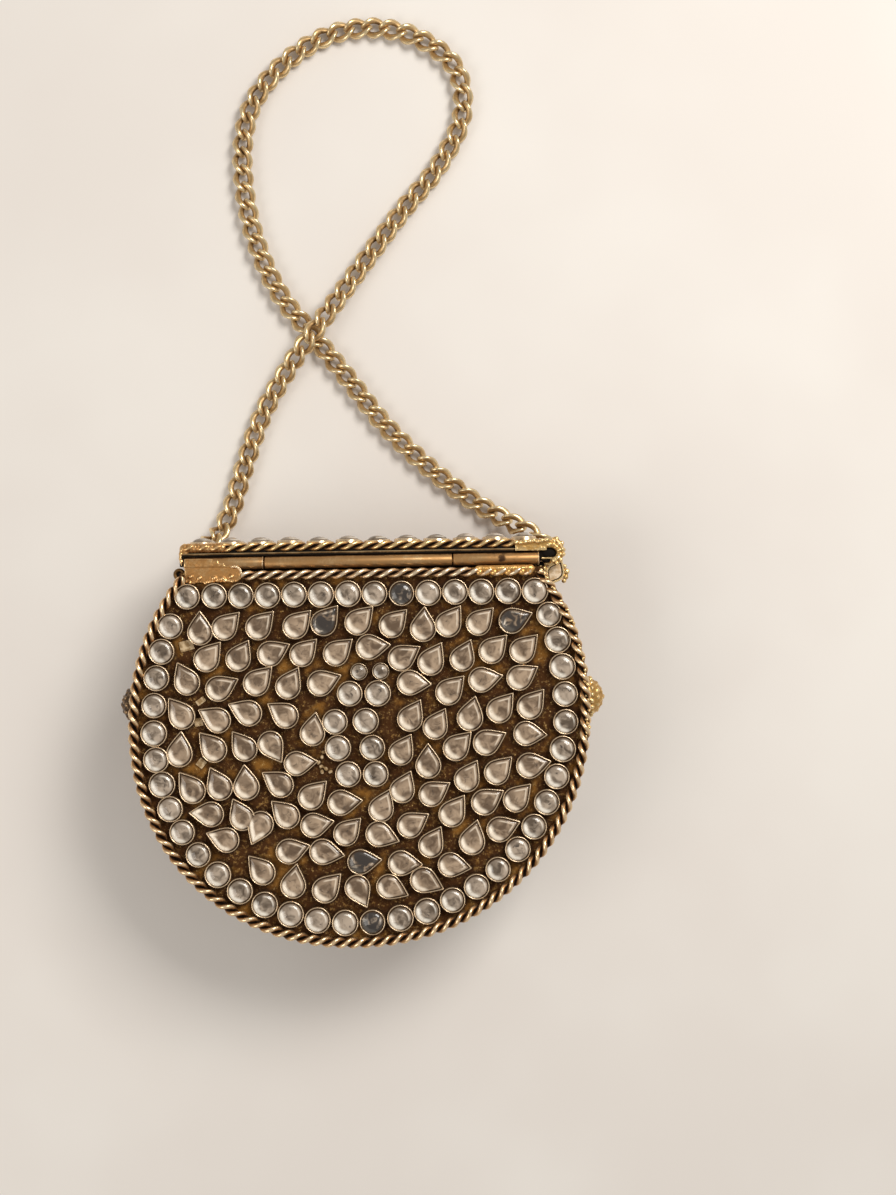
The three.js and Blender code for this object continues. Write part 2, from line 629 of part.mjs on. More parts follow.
function chainFrame(u) {
  const t = chainCurve.getUtoTmapping(u) * (chainRolls.length - 1);
  const k = Math.min(Math.floor(t), chainRolls.length - 2);
  const roll = THREE.MathUtils.degToRad(THREE.MathUtils.lerp(chainRolls[k], chainRolls[k + 1], t - k));
  const along = chainCurve.getTangentAt(u);
  const up = new THREE.Vector3(0, 0, 1);
  up.addScaledVector(along, -along.z).normalize().applyAxisAngle(along, roll);
  const side = new THREE.Vector3().crossVectors(up, along);
  return new THREE.Matrix4().makeBasis(along, side, up).setPosition(chainCurve.getPointAt(u));
}

const runCount = Math.ceil(linkCount / linksPerRun);
for (let run = 0; run < runCount; run += 1) {
  const links = [];
  const start = Math.round((run * linkCount) / runCount);
  const end = Math.round(((run + 1) * linkCount) / runCount);
  for (let i = start; i < end; i += 1) {
    const left = i === start && run > 0 ? linkHalf + linkSlack : linkHalf;
    const right = i === end - 1 && run < runCount - 1 ? linkHalf + linkSlack : linkHalf;
    const geometry = linkGeometry(left, right, linkHalfWidth, linkTwist);
    links.push(geometry.applyMatrix4(chainFrame((i + 0.5) / linkCount)));
  }
  addPiece(`chain_run_${String(run + 1).padStart(2, '0')}`, joined(links), chainGold);
}

export default clutch;
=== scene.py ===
import json
import math
import random

import bpy
from mathutils import Matrix, Vector
from mathutils.kdtree import KDTree

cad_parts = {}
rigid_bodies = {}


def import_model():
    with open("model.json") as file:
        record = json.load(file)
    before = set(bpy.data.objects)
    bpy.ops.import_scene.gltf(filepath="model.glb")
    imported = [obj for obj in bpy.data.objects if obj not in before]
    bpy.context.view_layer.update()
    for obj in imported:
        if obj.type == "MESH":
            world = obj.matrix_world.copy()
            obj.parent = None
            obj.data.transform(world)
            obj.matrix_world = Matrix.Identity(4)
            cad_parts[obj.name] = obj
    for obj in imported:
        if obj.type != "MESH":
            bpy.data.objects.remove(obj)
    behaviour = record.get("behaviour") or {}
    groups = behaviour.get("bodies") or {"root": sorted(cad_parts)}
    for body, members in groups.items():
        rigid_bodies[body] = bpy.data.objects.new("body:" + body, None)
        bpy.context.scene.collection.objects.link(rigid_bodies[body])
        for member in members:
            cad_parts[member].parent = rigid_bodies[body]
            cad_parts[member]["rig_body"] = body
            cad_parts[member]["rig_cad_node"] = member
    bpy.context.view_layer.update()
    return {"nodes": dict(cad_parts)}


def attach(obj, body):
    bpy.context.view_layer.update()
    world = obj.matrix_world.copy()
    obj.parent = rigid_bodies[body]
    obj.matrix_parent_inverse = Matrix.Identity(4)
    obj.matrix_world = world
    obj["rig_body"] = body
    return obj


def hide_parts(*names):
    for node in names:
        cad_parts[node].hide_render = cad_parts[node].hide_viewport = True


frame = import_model()
scene = bpy.context.scene
scene.view_settings.view_transform = "Standard"
random.seed(11)


# Back sheet: thin brass cut to the D, darkened by age, with solder and old glue spread between
# the stones. It is the solid panel with its stones cut off just above the sheet.
back_face = 0.0436
cut_height = 0.00002
face_depth = 0.0004


def alone(piece):
    """Leaves only this piece selected."""
    bpy.ops.object.select_all(action="DESELECT")
    piece.select_set(True)
    bpy.context.view_layer.objects.active = piece


def open_up(piece):
    """Opens a piece for editing, with all of it selected."""
    alone(piece)
    bpy.ops.object.mode_set(mode="EDIT")
    bpy.ops.mesh.select_all(action="SELECT")


def copy_of(model, stand=Matrix()):
    """A copy of a piece with its own mesh, moved to its place."""
    copy = model.copy()
    copy.data = model.data.copy()
    copy.data.transform(stand)
    scene.collection.objects.link(copy)
    return copy


def merged_copy(node):
    """A copy of a solid with its faces joined along their edges, so that it can be cut and smoothed."""
    piece = copy_of(frame["nodes"][node])
    piece.parent = None
    del piece["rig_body"]
    del piece["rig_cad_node"]
    open_up(piece)
    bpy.ops.mesh.remove_doubles(threshold=0.000002)
    bpy.ops.object.mode_set(mode="OBJECT")
    bpy.ops.mesh.customdata_custom_splitnormals_clear()
    return piece


def cut_away(piece, point, outward):
    """Cuts off what stands beyond a plane and closes the cut."""
    open_up(piece)
    bpy.ops.mesh.bisect(
        plane_co=point, plane_no=outward, use_fill=True, clear_outer=True, threshold=0.000001
    )
    bpy.ops.object.mode_set(mode="OBJECT")


def work(piece, kind, **settings):
    """Puts a modifier on a piece and applies it."""
    alone(piece)
    tool = piece.modifiers.new("tool", kind)
    for key, value in settings.items():
        setattr(tool, key, value)
    bpy.ops.object.modifier_apply(modifier="tool")


def make_uneven(piece, grain, **settings):
    """Raises and sinks a surface in clouds of this grain."""
    clouds = bpy.data.textures.new("clouds", "CLOUDS")
    clouds.noise_scale = grain
    work(piece, "DISPLACE", texture=clouds, **settings)


def fill(tree, node, sockets):
    """Gives each socket of a shader node a number, a colour, or what another node puts out."""
    for key, value in sockets.items():
        socket = node.inputs[key]
        if isinstance(value, bpy.types.NodeSocket):
            tree.links.new(value, socket)
        else:
            socket.default_value = (*value, 1) if socket.type == "RGBA" else value


def add(tree, kind, sockets=None, **settings):
    """A shader node with its settings and what its sockets take."""
    node = tree.nodes.new(kind)
    for key, value in settings.items():
        setattr(node, key, value)
    fill(tree, node, sockets or {})
    return node


def own_place(tree):
    """The piece's own coordinates."""
    return add(tree, "ShaderNodeTexCoord").outputs["Object"]


def noise(tree, **sockets):
    """Cloudy noise fixed to the piece."""
    return add(tree, "ShaderNodeTexNoise", {"Vector": own_place(tree), **sockets}).outputs["Fac"]


def carried(tree, name, kind="Fac"):
    """What a piece carries at each of its points under this name."""
    return add(tree, "ShaderNodeAttribute", attribute_name=name).outputs[kind]


def layers(tree, colour, *coats):
    """A colour with others laid over it, each by its mask."""
    for mask, coat in coats:
        colour = add(tree, "ShaderNodeMix", {0: mask, 6: colour, 7: coat}, data_type="RGBA").outputs[2]
    return colour


def step(tree, value, low, high, out_low=0.0, out_high=1.0):
    """A smooth step of a value between two levels."""
    sockets = {"Value": value, "From Min": low, "From Max": high, "To Min": out_low, "To Max": out_high}
    return add(tree, "ShaderNodeMapRange", sockets, interpolation_type="SMOOTHSTEP").outputs["Result"]


def plus(tree, first, second):
    return add(tree, "ShaderNodeMath", {0: first, 1: second}, operation="ADD").outputs[0]


def times(tree, first, second):
    return add(tree, "ShaderNodeMath", {0: first, 1: second}, operation="MULTIPLY").outputs[0]


def bumps(tree, height, strength, distance=0.0003):
    """The normal of a surface with this relief."""
    sockets = {"Height": height, "Strength": strength, "Distance": distance}
    return add(tree, "ShaderNodeBump", sockets).outputs["Normal"]


def new_material(name):
    """An empty material: its node tree and its shader."""
    material = bpy.data.materials.new(name)
    material.use_nodes = True
    return material, material.node_tree, material.node_tree.nodes["Principled BSDF"]


def put_on(material, *pieces, name=None):
    """Gives pieces their finish, and a new piece its name."""
    for piece in pieces:
        piece.name = name or piece.name
        piece.data.materials.clear()
        piece.data.materials.append(material)


crust, tree, shader = new_material("solder_and_glue")
patches = noise(tree, Scale=95, Detail=5, Roughness=0.62)
grains = noise(tree, Scale=900, Detail=4, Roughness=0.7)
specks = add(tree, "ShaderNodeTexVoronoi", {"Vector": own_place(tree), "Scale": 1500}).outputs["Distance"]
amber = step(tree, patches, 0.5, 0.66)
ochre = times(tree, step(tree, grains, 0.52, 0.7), 0.85)
spark = times(tree, step(tree, specks, 0.26, 0.12), step(tree, grains, 0.5, 0.64))
# Painted shade: the sheet darkens at the foot of each cup.
cup_foot_shade = times(tree, carried(tree, "cup_foot_shade"), 0.88)
fill(tree, shader, {
    "Base Color": layers(
        tree, (0.058, 0.021, 0.004), (amber, (0.25, 0.112, 0.02)), (ochre, (0.33, 0.185, 0.05)),
        (spark, (0.7, 0.5, 0.22)), (cup_foot_shade, (0.014, 0.0045, 0.0012)),
    ),
    "Roughness": step(tree, grains, 0.35, 0.7, 0.85, 0.5),
    "Metallic": times(tree, spark, 0.9),
    "Specular IOR Level": 0.14,
    "Normal": bumps(tree, plus(tree, grains, times(tree, patches, 2.0)), 0.75, 0.0006),
})

back_sheet = merged_copy("back_panel")
cut_away(back_sheet, (0, 0, back_face + cut_height), (0, 0, 1))
work(back_sheet, "REMESH", mode="VOXEL", voxel_size=0.0007)
upper = back_sheet.vertex_groups.new(name="upper")
upper.add([v.index for v in back_sheet.data.vertices if v.co.z > back_face - face_depth], 1.0, "REPLACE")
for grain, strength in ((0.006, 0.0006), (0.0013, 0.0005)):
    make_uneven(back_sheet, grain, direction="Z", mid_level=0.45, strength=strength, vertex_group="upper")
bpy.ops.object.shade_smooth()
put_on(crust, back_sheet, name="back_sheet")
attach(back_sheet, "case")
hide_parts("back_panel")


# Lid sheet: the flap over the front, the bend and the top plate, with the two end plates. Its
# stones are cut off in the same way. Its brass has aged: it is bright where it is rubbed along the top
# plate's outer edge, brown on its body, and painted dark below that edge, painted shade under the edge.
flap_face = 0.0038
top_plate_face = 0.054
edge_height = 0.0415
edge_start = 0.048
edge_line_y = 0.0533
edge_blend = 0.0007


def new_group(name, inputs, outputs):
    """An effect that several materials share: its node tree and what goes into it."""
    group = bpy.data.node_groups.new(name, "ShaderNodeTree")
    for way, sockets in (("INPUT", inputs), ("OUTPUT", outputs)):
        for label, kind in sockets.items():
            group.interface.new_socket(label, in_out=way, socket_type="NodeSocket" + kind)
    return group, add(group, "NodeGroupInput").outputs


def swing(tree, value, amount):
    """A value between 0 and 1 as a swing of this amount to both sides of 0."""
    return times(tree, plus(tree, value, -0.5), amount)


# Rise says how far a point stands out, from 0 in a hollow to 1 where it is rubbed. Where a piece's
# rise follows its shape, the grime colour in its hollows is painted shade and the bright colour on what
# stands out is painted highlight.
aged_brass, inside = new_group(
    "aged_brass", {"Bright": "Color", "Body": "Color", "Grime_and_shade": "Color", "Rise": "Float", "Scale": "Float"},
    {"Color": "Color", "Roughness": "Float", "Height": "Float"},
)
mottle = noise(aged_brass, Scale=inside["Scale"], Detail=5, Roughness=0.6)
fine = noise(aged_brass, Scale=times(aged_brass, inside["Scale"], 6.0), Detail=3, Roughness=0.7)
worn = plus(aged_brass, inside["Rise"], swing(aged_brass, mottle, 1.1))
worn = plus(aged_brass, worn, swing(aged_brass, fine, 0.5))
clean, rubbed_and_lit = step(aged_brass, worn, 0.12, 0.5), step(aged_brass, worn, 0.55, 0.95)
fill(aged_brass, add(aged_brass, "NodeGroupOutput"), {
    "Color": layers(aged_brass, inside["Grime_and_shade"], (clean, inside["Body"]), (rubbed_and_lit, inside["Bright"])),
    "Roughness": step(aged_brass, worn, 0.1, 1.0, 0.6, 0.24),
    "Height": plus(aged_brass, mottle, times(aged_brass, fine, 0.4)),
})


def brass_finish(name, bright, body, grime_and_shade, scale=300, relief=0.3, rise=None, stain=None):
    """Aged brass in three colours. Where no rise is given, the piece carries it; where that rise follows the piece's
    shape, the grime colour is painted shade and the bright one painted highlight. A stain is a dark place.
    """
    material, tree, metal = new_material(name)
    rise = rise or carried(tree, "rise")
    if stain:
        sockets = {0: own_place(tree), 1: stain}
        away = add(tree, "ShaderNodeVectorMath", sockets, operation="DISTANCE").outputs["Value"]
        away = plus(tree, away, times(tree, noise(tree, Scale=700, Detail=3), -0.0024))
        rise = plus(tree, rise, step(tree, away, 0.0009, -0.0008, 0.0, -0.42))
    sockets = {"Bright": bright, "Body": body, "Grime_and_shade": grime_and_shade, "Rise": rise, "Scale": scale}
    effect = add(tree, "ShaderNodeGroup", sockets, node_tree=aged_brass).outputs
    fill(tree, metal, {
        "Base Color": effect["Color"], "Roughness": effect["Roughness"], "Metallic": 0.85,
        "Normal": bumps(tree, effect["Height"], relief),
    })
    return material


def smooth_edges(piece, degrees=30, bevel=0.0):
    """Rounds the sharp edges a little and smooths the rest."""
    angle = math.radians(degrees)
    if bevel:
        work(piece, "BEVEL", width=bevel, segments=2, limit_method="ANGLE", angle_limit=angle)
    alone(piece)
    bpy.ops.object.shade_smooth_by_angle(angle=angle)


def write_on(piece, name, measure):
    """Gives every point of a piece a number for its finish to read."""
    layer = piece.data.attributes.new(name, "FLOAT", "POINT")
    for vertex in piece.data.vertices:
        layer.data[vertex.index].value = measure(vertex.co)


sheet_brass = brass_finish("sheet_brass", (0.62, 0.4, 0.17), (0.33, 0.18, 0.06), (0.05, 0.025, 0.01), 120, rise=0.5)
edge_brass = brass_finish("lid_edge_brass", (0.6, 0.42, 0.22), (0.16, 0.085, 0.03), (0.01, 0.006, 0.003), 160)
lid_sheet = merged_copy("lid_shell")
cut_away(lid_sheet, (0, 0, flap_face - cut_height), (0, 0, -1))
cut_away(lid_sheet, (0, top_plate_face + cut_height, 0), (0, 1, 0))
smooth_edges(lid_sheet)
put_on(sheet_brass, lid_sheet, name="lid_sheet")
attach(lid_sheet, "lid")
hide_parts("lid_shell")
lid_sheet.data.materials.append(edge_brass)
for face in lid_sheet.data.polygons:
    if face.center.z > edge_height and face.center.y > edge_start:
        face.material_index = 1
# Painted shade: the edge brass is dark below the top plate's outer edge and bright along it.
write_on(lid_sheet, "rise", lambda point: (point.y - edge_line_y) / edge_blend)


# Cups: strips of thin brass bent round each stone, soldered to the sheet, with their upper edge
# rubbed over the stone. Their ends meet at the tip of a drop.
stone_radius = 0.0042
stone_tip = 0.0074
stone_height = 0.0038
cup_wall = 0.0026
lip = 0.00012
cup_inner = 0.0004
tip_rounding = 0.0004
outline_corners = 24


def new_piece(primitive, **settings):
    """Adds a primitive on its own, with its place, turn and size written into its mesh."""
    bpy.ops.object.select_all(action="DESELECT")
    primitive(**settings)
    bpy.ops.object.transform_apply(location=True, rotation=True, scale=True)
    return bpy.context.active_object


def pull_tip(blank, corner, pull, reach):
    """Draws one corner of an outline out along X, with its neighbours after it, and stays in edit mode."""
    for part in (*blank.data.polygons, *blank.data.edges, *blank.data.vertices):
        part.select = False
    blank.data.vertices[corner].select = True
    bpy.ops.object.mode_set(mode="EDIT")
    bpy.ops.mesh.select_mode(type="VERT")
    bpy.ops.transform.translate(
        value=(pull, 0, 0), use_proportional_edit=True, proportional_edit_falloff="SHARP", proportional_size=reach
    )


def draw_out(*way):
    """Extrudes what is selected this way."""
    bpy.ops.mesh.extrude_region_move(TRANSFORM_OT_translate={"value": way})


def close_up(degrees):
    """Turns all faces of the piece in edit mode outwards, leaves it and smooths what is less sharp."""
    bpy.ops.mesh.select_all(action="SELECT")
    bpy.ops.mesh.normals_make_consistent(inside=False)
    bpy.ops.object.mode_set(mode="OBJECT")
    bpy.ops.object.shade_smooth_by_angle(angle=math.radians(degrees))


def stone_blank(radius, tip):
    """A flat blank in a stone's outline, with its tip along X, left in edit mode with its face selected."""
    blank = new_piece(bpy.ops.mesh.primitive_circle_add, vertices=outline_corners, radius=radius, fill_type="NGON")
    if tip > radius:
        corner = max(blank.data.vertices, key=lambda vertex: vertex.co.x)
        pull_tip(blank, corner.index, tip - radius, radius * 1.1)
        bpy.ops.mesh.bevel(offset=tip_rounding, segments=2, affect="VERTICES")
    else:
        bpy.ops.object.mode_set(mode="EDIT")
    bpy.ops.mesh.select_mode(type="FACE")
    bpy.ops.mesh.select_all(action="SELECT")
    return blank


def cup_model(tip):
    """A cup standing on the XY plane, with a rounded lip and a floor that the stone hides."""
    cup = stone_blank(stone_radius, tip)
    draw_out(0, 0, cup_wall)
    for depth in (lip, 0, -lip):
        bpy.ops.mesh.inset(thickness=lip, depth=depth)
    draw_out(0, 0, -cup_wall / 3)
    close_up(50)
    inner = stone_radius - 3.5 * lip
    # The cup brightens up the wall to its rubbed lip; it is painted dark inside and at the wall's foot, painted shade
    # where the wall meets the sheet.
    write_on(cup, "rise", lambda point: point.z / (cup_wall + lip) if math.hypot(point.x, point.y) > inner else 0)
    return cup


round_cup = cup_model(stone_radius)
drop_cup = cup_model(stone_tip)


# Stones: clear glass over grey foil, domed on the rounds and flatter on the drops. The foil has
# dulled, so each stone has its own tone; light gathering along one side of its edge is painted into its colour.
glass_foot = 0.002
drop_middle = 0.0008
crown_rise = 0.00002


def raise_steps(outward, centre, steps):
    """Draws the selected face out in steps, each a rise and how much smaller the face becomes."""
    for rise, share in steps:
        draw_out(*(Vector(outward) * rise))
        shares = [1 if abs(part) > 0.5 else share for part in outward]
        bpy.ops.transform.resize(value=shares, center_override=centre)


def glass_model(tip, middle, *steps):
    """A stone as a stack of shrinking outlines. Edge is 1 on its outline and 0 at its middle."""
    gem = stone_blank(stone_radius - cup_inner, tip)
    bpy.ops.transform.translate(value=(0, 0, glass_foot))
    raise_steps((0, 0, 1), (middle, 0, 0), steps)
    bpy.ops.mesh.poke(offset=crown_rise)
    close_up(60)

    def edge(point):
        rise, share = point.z - glass_foot, 1.0
        for lift, smaller in steps:
            if rise > lift / 2:
                rise, share = rise - lift, share * smaller
        return 0 if rise > crown_rise / 2 else share

    write_on(gem, "edge", edge)
    return gem


round_gem = glass_model(
    stone_radius - cup_inner, 0,
    (0.0006, 0.95), (0.00045, 0.86), (0.00035, 0.75), (0.00022, 0.6), (0.0001, 0.5),
)
drop_gem = glass_model(
    stone_tip - 1.75 * cup_inner, drop_middle,
    (0.00055, 0.96), (0.0003, 0.9), (0.00022, 0.76), (0.00012, 0.6), (0.00004, 0.5),
)

# Cloudy grey foil under the glass, with lost flecks of foil, and painted light: a pale painted gleam
# along its lower left, a painted highlight echoing it opposite, painted shade toward the upper left and
# a dark line of painted shade round it, fainter on the lower left. A stone whose tone is 0 is blind.
clouded_foil, inside = new_group(
    "clouded_foil", {"Deep": "Color", "Pale": "Color", "Painted_glow": "Color", "Spots": "Float"}, {"Color": "Color"}
)
edge, tone = carried(clouded_foil, "edge"), carried(clouded_foil, "stone_tone")
where = carried(clouded_foil, "stone_place", "Vector")
side, far = (
    add(clouded_foil, "ShaderNodeVectorMath", {0: where, 1: way}, operation="DOT_PRODUCT").outputs["Value"]
    for way in ((-0.75, -0.66, 0), (-0.55, 0.83, 0))
)
clouds = noise(clouded_foil, Scale=330, Detail=3, Distortion=0.8)
flecks = noise(clouded_foil, Scale=560, Detail=2, Distortion=1.4)
# The foil's cloudy tone by stone, a little paler toward the outline as painted light.
lit = plus(clouded_foil, plus(clouded_foil, clouds, swing(clouded_foil, tone, 0.2)), times(clouded_foil, edge, 0.12))


def patch(first, second, amount=1.0):
    """A mask where two smooth steps meet, weakened to an amount."""
    both = times(clouded_foil, step(clouded_foil, *first), step(clouded_foil, *second))
    return both if amount == 1.0 else times(clouded_foil, both, amount)


# Painted light: a pale gleam near the lower left of the outline, and a weaker painted highlight echoing it at the
# upper right.
painted_gleam = patch((side, 0.1, 0.5), (edge, 0.42, 0.74), step(clouded_foil, flecks, 0.25, 0.5, 0.55, 1.0))
painted_echo = patch((side, -0.25, -0.6), (edge, 0.6, 0.68), times(clouded_foil, step(clouded_foil, edge, 0.8, 0.74), 0.5))
fill(clouded_foil, add(clouded_foil, "NodeGroupOutput"), {"Color": layers(
    clouded_foil, inside["Deep"],
    (step(clouded_foil, lit, 0.36, 0.74), inside["Pale"]),
    # Painted shade toward the upper left.
    (step(clouded_foil, far, -0.1, 0.9, 0.0, 0.6), inside["Deep"]),
    (painted_gleam, inside["Painted_glow"]),
    (painted_echo, inside["Painted_glow"]),
    (patch((flecks, 0.6, 0.7), (edge, 0.75, 0.35), inside["Spots"]), (0.04, 0.03, 0.024)),
    (patch((tone, 0.02, 0.0), (clouds, 0.62, 0.5, 0.2, 0.92)), (0.035, 0.03, 0.027)),
    # Painted shade: a dark line round the stone where the glass meets the cup, fainter on the lower left.
    (patch((edge, 0.84, 0.93), (side, 0.7, 0.2, 0.3, 1.0)), (0.045, 0.022, 0.01)),
)})


def glass_finish(name, deep, pale, painted_glow, spots):
    """Glass over foil in three colours, the third a painted gleam, with more or fewer lost flecks."""
    material, tree, glass = new_material(name)
    sockets = {"Deep": deep, "Pale": pale, "Painted_glow": painted_glow, "Spots": spots}
    foil = add(tree, "ShaderNodeGroup", sockets, node_tree=clouded_foil).outputs["Color"]
    fill(tree, glass, {"Base Color": foil, "Roughness": 0.06, "IOR": 1.52})
    return material


round_glass = glass_finish("round_glass", (0.1, 0.072, 0.048), (0.45, 0.36, 0.275), (1.0, 0.93, 0.81), 0.85)
drop_glass = glass_finish("drop_glass", (0.125, 0.08, 0.047), (0.42, 0.305, 0.205), (0.97, 0.84, 0.67), 0.6)
cup_brass = brass_finish("cup_brass", (0.78, 0.6, 0.4), (0.36, 0.22, 0.1), (0.025, 0.012, 0.006), 420, 0.2)


def crown_places(node, outward, level):
    """The stones of a panel, each as the corners of its flat crown on the solid."""
    mesh = frame["nodes"][node].data
    crowns = []
    for face in mesh.polygons:
        if face.normal.dot(outward) > 0.999 and abs(face.center.dot(outward) - level) < 0.00001:
            corners = {tuple(round(c, 6) for c in mesh.vertices[i].co) for i in face.vertices}
            for crown in [crown for crown in crowns if crown & corners]:
                corners |= crown
                crowns.remove(crown)
            crowns.append(corners)
    return [[Vector(corner) for corner in crown] for crown in crowns]


crown_share = 0.72
below_crown = 0.985
dark_reach = 0.003
side_from, corner_at, left_from = 0.045, 0.052, -0.05
spread, spread_from, spread_over = 0.0022, 0.012, 0.026
slide, slide_from, slide_over = math.radians(1.9), -0.035, 0.03
top_row = 0.0395
dark_places = [(0.013, 0.0401), (0.0045, -0.0655), (-0.010, 0.032), (0.051, 0.031), (0.001, -0.046)]
stone_models = {"round": (round_cup, round_gem), "drop": (drop_cup, drop_gem)}
stone_finishes = {"round": (cup_brass, round_glass), "drop": (cup_brass, drop_glass)}


def shift_border(middle):
    """Moves a round of the back: outwards at the upper corners, and down along the left side."""
    if middle.y > spread_from and (middle.y > top_row or abs(middle.x) > side_from):
        middle.x += spread * middle.x / corner_at * min(1.0, (middle.y - spread_from) / spread_over)
    if middle.x < left_from and slide_from < middle.y < top_row:
        middle.rotate(Matrix.Rotation(slide * min(1.0, (middle.y - slide_from) / slide_over), 3, "Z"))


def joined(pieces):
    """Several pieces as one."""
    alone(pieces[0])
    for piece in pieces:
        piece.select_set(True)
    if len(pieces) > 1:
        bpy.ops.object.join()
    return pieces[0]


def set_stones(names, node, body, outward, level, face, across, upright, proud=0.0):
    """Sets a cup and a stone at every crown of a panel, each a little out of true as by hand."""
    on_back = node == "back_panel"
    made = {"round": ([], []), "drop": ([], [])}
    for crown in sorted(crown_places(node, outward, level), key=lambda ring: tuple(min(map(tuple, ring)))):
        middle = sum(crown, Vector()) / len(crown)
        tip = max(crown, key=lambda corner: (corner - middle).length)
        others = [corner for corner in crown if corner is not tip]
        base = sum(others, Vector()) / len(others)
        near = min((corner - middle).length for corner in crown)
        if (tip - middle).length > 1.25 * near:
            kind, pointing, size = "drop", (tip - base).normalized(), 1.0
            middle = tip - pointing * stone_tip * crown_share
        else:
            kind, pointing = "round", across
            size = near / crown_share / stone_radius
            if on_back:
                shift_border(middle)
        foot = middle + outward * (face - middle.dot(outward))
        lean_x, lean_y = random.uniform(-2.5, 2.5), random.uniform(-2.5, 2.5)
        turn = Matrix((pointing, outward.cross(pointing), outward)).transposed().to_4x4()
        turn = turn @ Matrix.Rotation(math.radians(lean_x), 4, "X") @ Matrix.Rotation(math.radians(lean_y), 4, "Y")
        size *= random.uniform(0.97, 1.03)
        tall = (level + proud - face) / stone_height * below_crown * random.uniform(0.95, 1.0)
        stand = Matrix.Translation(foot) @ turn @ Matrix.Diagonal((size, size, tall, 1))
        dark = on_back and any((middle.xy - Vector(spot)).length < dark_reach for spot in dark_places)
        tone = 0.0 if dark else random.uniform(0.1, 1.0)
        cup, gem = (copy_of(model, stand) for model in stone_models[kind])
        write_on(gem, "stone_tone", lambda point: tone)
        places = gem.data.attributes.new("stone_place", "FLOAT_VECTOR", "POINT").data
        for vertex in gem.data.vertices:
            offset = (vertex.co - foot) / stone_radius
            places[vertex.index].vector = (offset.dot(across), offset.dot(upright), 0)
        made[kind][0].append(cup)
        made[kind][1].append(gem)
    for kind, groups in made.items():
        for part, pieces, finish in zip(("cups", "stones"), groups, stone_finishes[kind]):
            if pieces:
                whole = joined(pieces)
                put_on(finish, whole, name=f"{names}_{kind}_{part}")
                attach(whole, body)


right, up, away = Vector((1, 0, 0)), Vector((0, 1, 0)), Vector((0, 0, 1))
back_crowns, flap_crowns, top_crowns = 0.0474, 0.0, 0.0586
set_stones("back", "back_panel", "case", away, back_crowns, back_face, right, up)
set_stones("flap", "lid_shell", "lid", -away, flap_crowns, -flap_face, right, up)
set_stones("lid_top", "lid_shell", "lid", up, top_crowns, top_plate_face, right, away, 0.001)
for model in (round_cup, drop_cup, round_gem, drop_gem):
    bpy.data.objects.remove(model)

# Painted shade: the sheet is darkened at the foot of each cup, where the cup's wall shades it.
cup_shade_reach = 0.0013
in_plan = Vector((1, 1, 0))
feet = [
    vertex.co * in_plan for kind in stone_models for vertex in bpy.data.objects[f"back_{kind}_cups"].data.vertices
]
walls = KDTree(len(feet))
for number, foot in enumerate(feet):
    walls.insert(foot, number)
walls.balance()
write_on(back_sheet, "cup_foot_shade", lambda point: max(0.0, 1 - walls.find(point * in_plan)[2] / cup_shade_reach))


# Front panel, under the flap, and the side band: plain brass sheet, the band bent to the D and
# soldered between the two panels. The lining is a thin pocket of dark velvet.
plain_brass = brass_finish(
    "front_sheet_brass", (0.6, 0.4, 0.19), (0.36, 0.2, 0.075), (0.07, 0.035, 0.015), 90, rise=0.55
)
dark_brass = brass_finish(
    "darkened_brass", (0.42, 0.26, 0.11), (0.16, 0.085, 0.03), (0.02, 0.01, 0.005), 160, rise=0.42
)
velvet, tree, shader = new_material("velvet")
brushed = step(tree, noise(tree, Scale=60, Detail=3, Distortion=0.8), 0.35, 0.65)
fill(tree, shader, {
    "Base Color": layers(tree, (0.012, 0.008, 0.007), (brushed, (0.032, 0.022, 0.018))),
    "Roughness": 0.95,
    "Sheen Weight": 0.5,
    "Normal": bumps(tree, noise(tree, Scale=2600, Detail=2), 0.6),
})
put_on(plain_brass, frame["nodes"]["front_panel"])
for node, name, slot, finish in (
    ("side_band", "bent_band", "dark_brass", dark_brass), ("case_lining", "velvet_pocket", "lining", velvet),
):
    piece = merged_copy(node)
    smooth_edges(piece)
    put_on(finish, piece, name=name)
    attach(piece, "case")
    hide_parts(node)


# Snap: a steel magnet glued behind the front panel and a thin steel keeper glued to the flap. They
# hold the clutch shut, and a closed clutch hides them both.
steel, tree, shader = new_material("dull_steel")
turned = noise(tree, Scale=500, Detail=4)
fill(tree, shader, {
    "Base Color": layers(tree, (0.3, 0.3, 0.29), (turned, (0.5, 0.49, 0.47))),
    "Roughness": step(tree, turned, 0.3, 0.7, 0.3, 0.5),
    "Metallic": 1,
})
put_on(steel, frame["nodes"]["snap_magnet"], frame["nodes"]["snap_keeper"])


# Ropes: two brass wires twisted together to the left and soldered along the edges, round the back's
# rim and along its straight top, along the lid's edge and round the flap.
half_width = 0.075
half_height = 0.0745
fullness = 2.08
lean = 0.029
shoulder = 0.0466
wire = 0.00084
wire_off_axis = 0.00076
rope_trim = 0.0003
rope_z = 0.04545
flap_rope_z = 0.00195
rim_inset = 0.0021
thick_wire = 1.15
rim_bump = 0.0041
straight_bump = 0.0046
strand_sides = 10
steps_per_turn = 18


def rim_points(inset, height):
    """Points along the round part of the D, from its right shoulder down and round to the left."""
    count = 240
    width, tall = half_width - inset, half_height - inset
    start = math.asin((shoulder / tall) ** (fullness / 2))
    points = []
    for i in range(count + 1):
        angle = start - (math.pi + 2 * start) * i / count
        c, s = math.cos(angle), math.sin(angle)
        y = math.copysign(tall * abs(s) ** (2 / fullness), s)
        points.append(Vector((math.copysign(width * abs(c) ** (2 / fullness), c) + lean * y, y, height)))
    return points


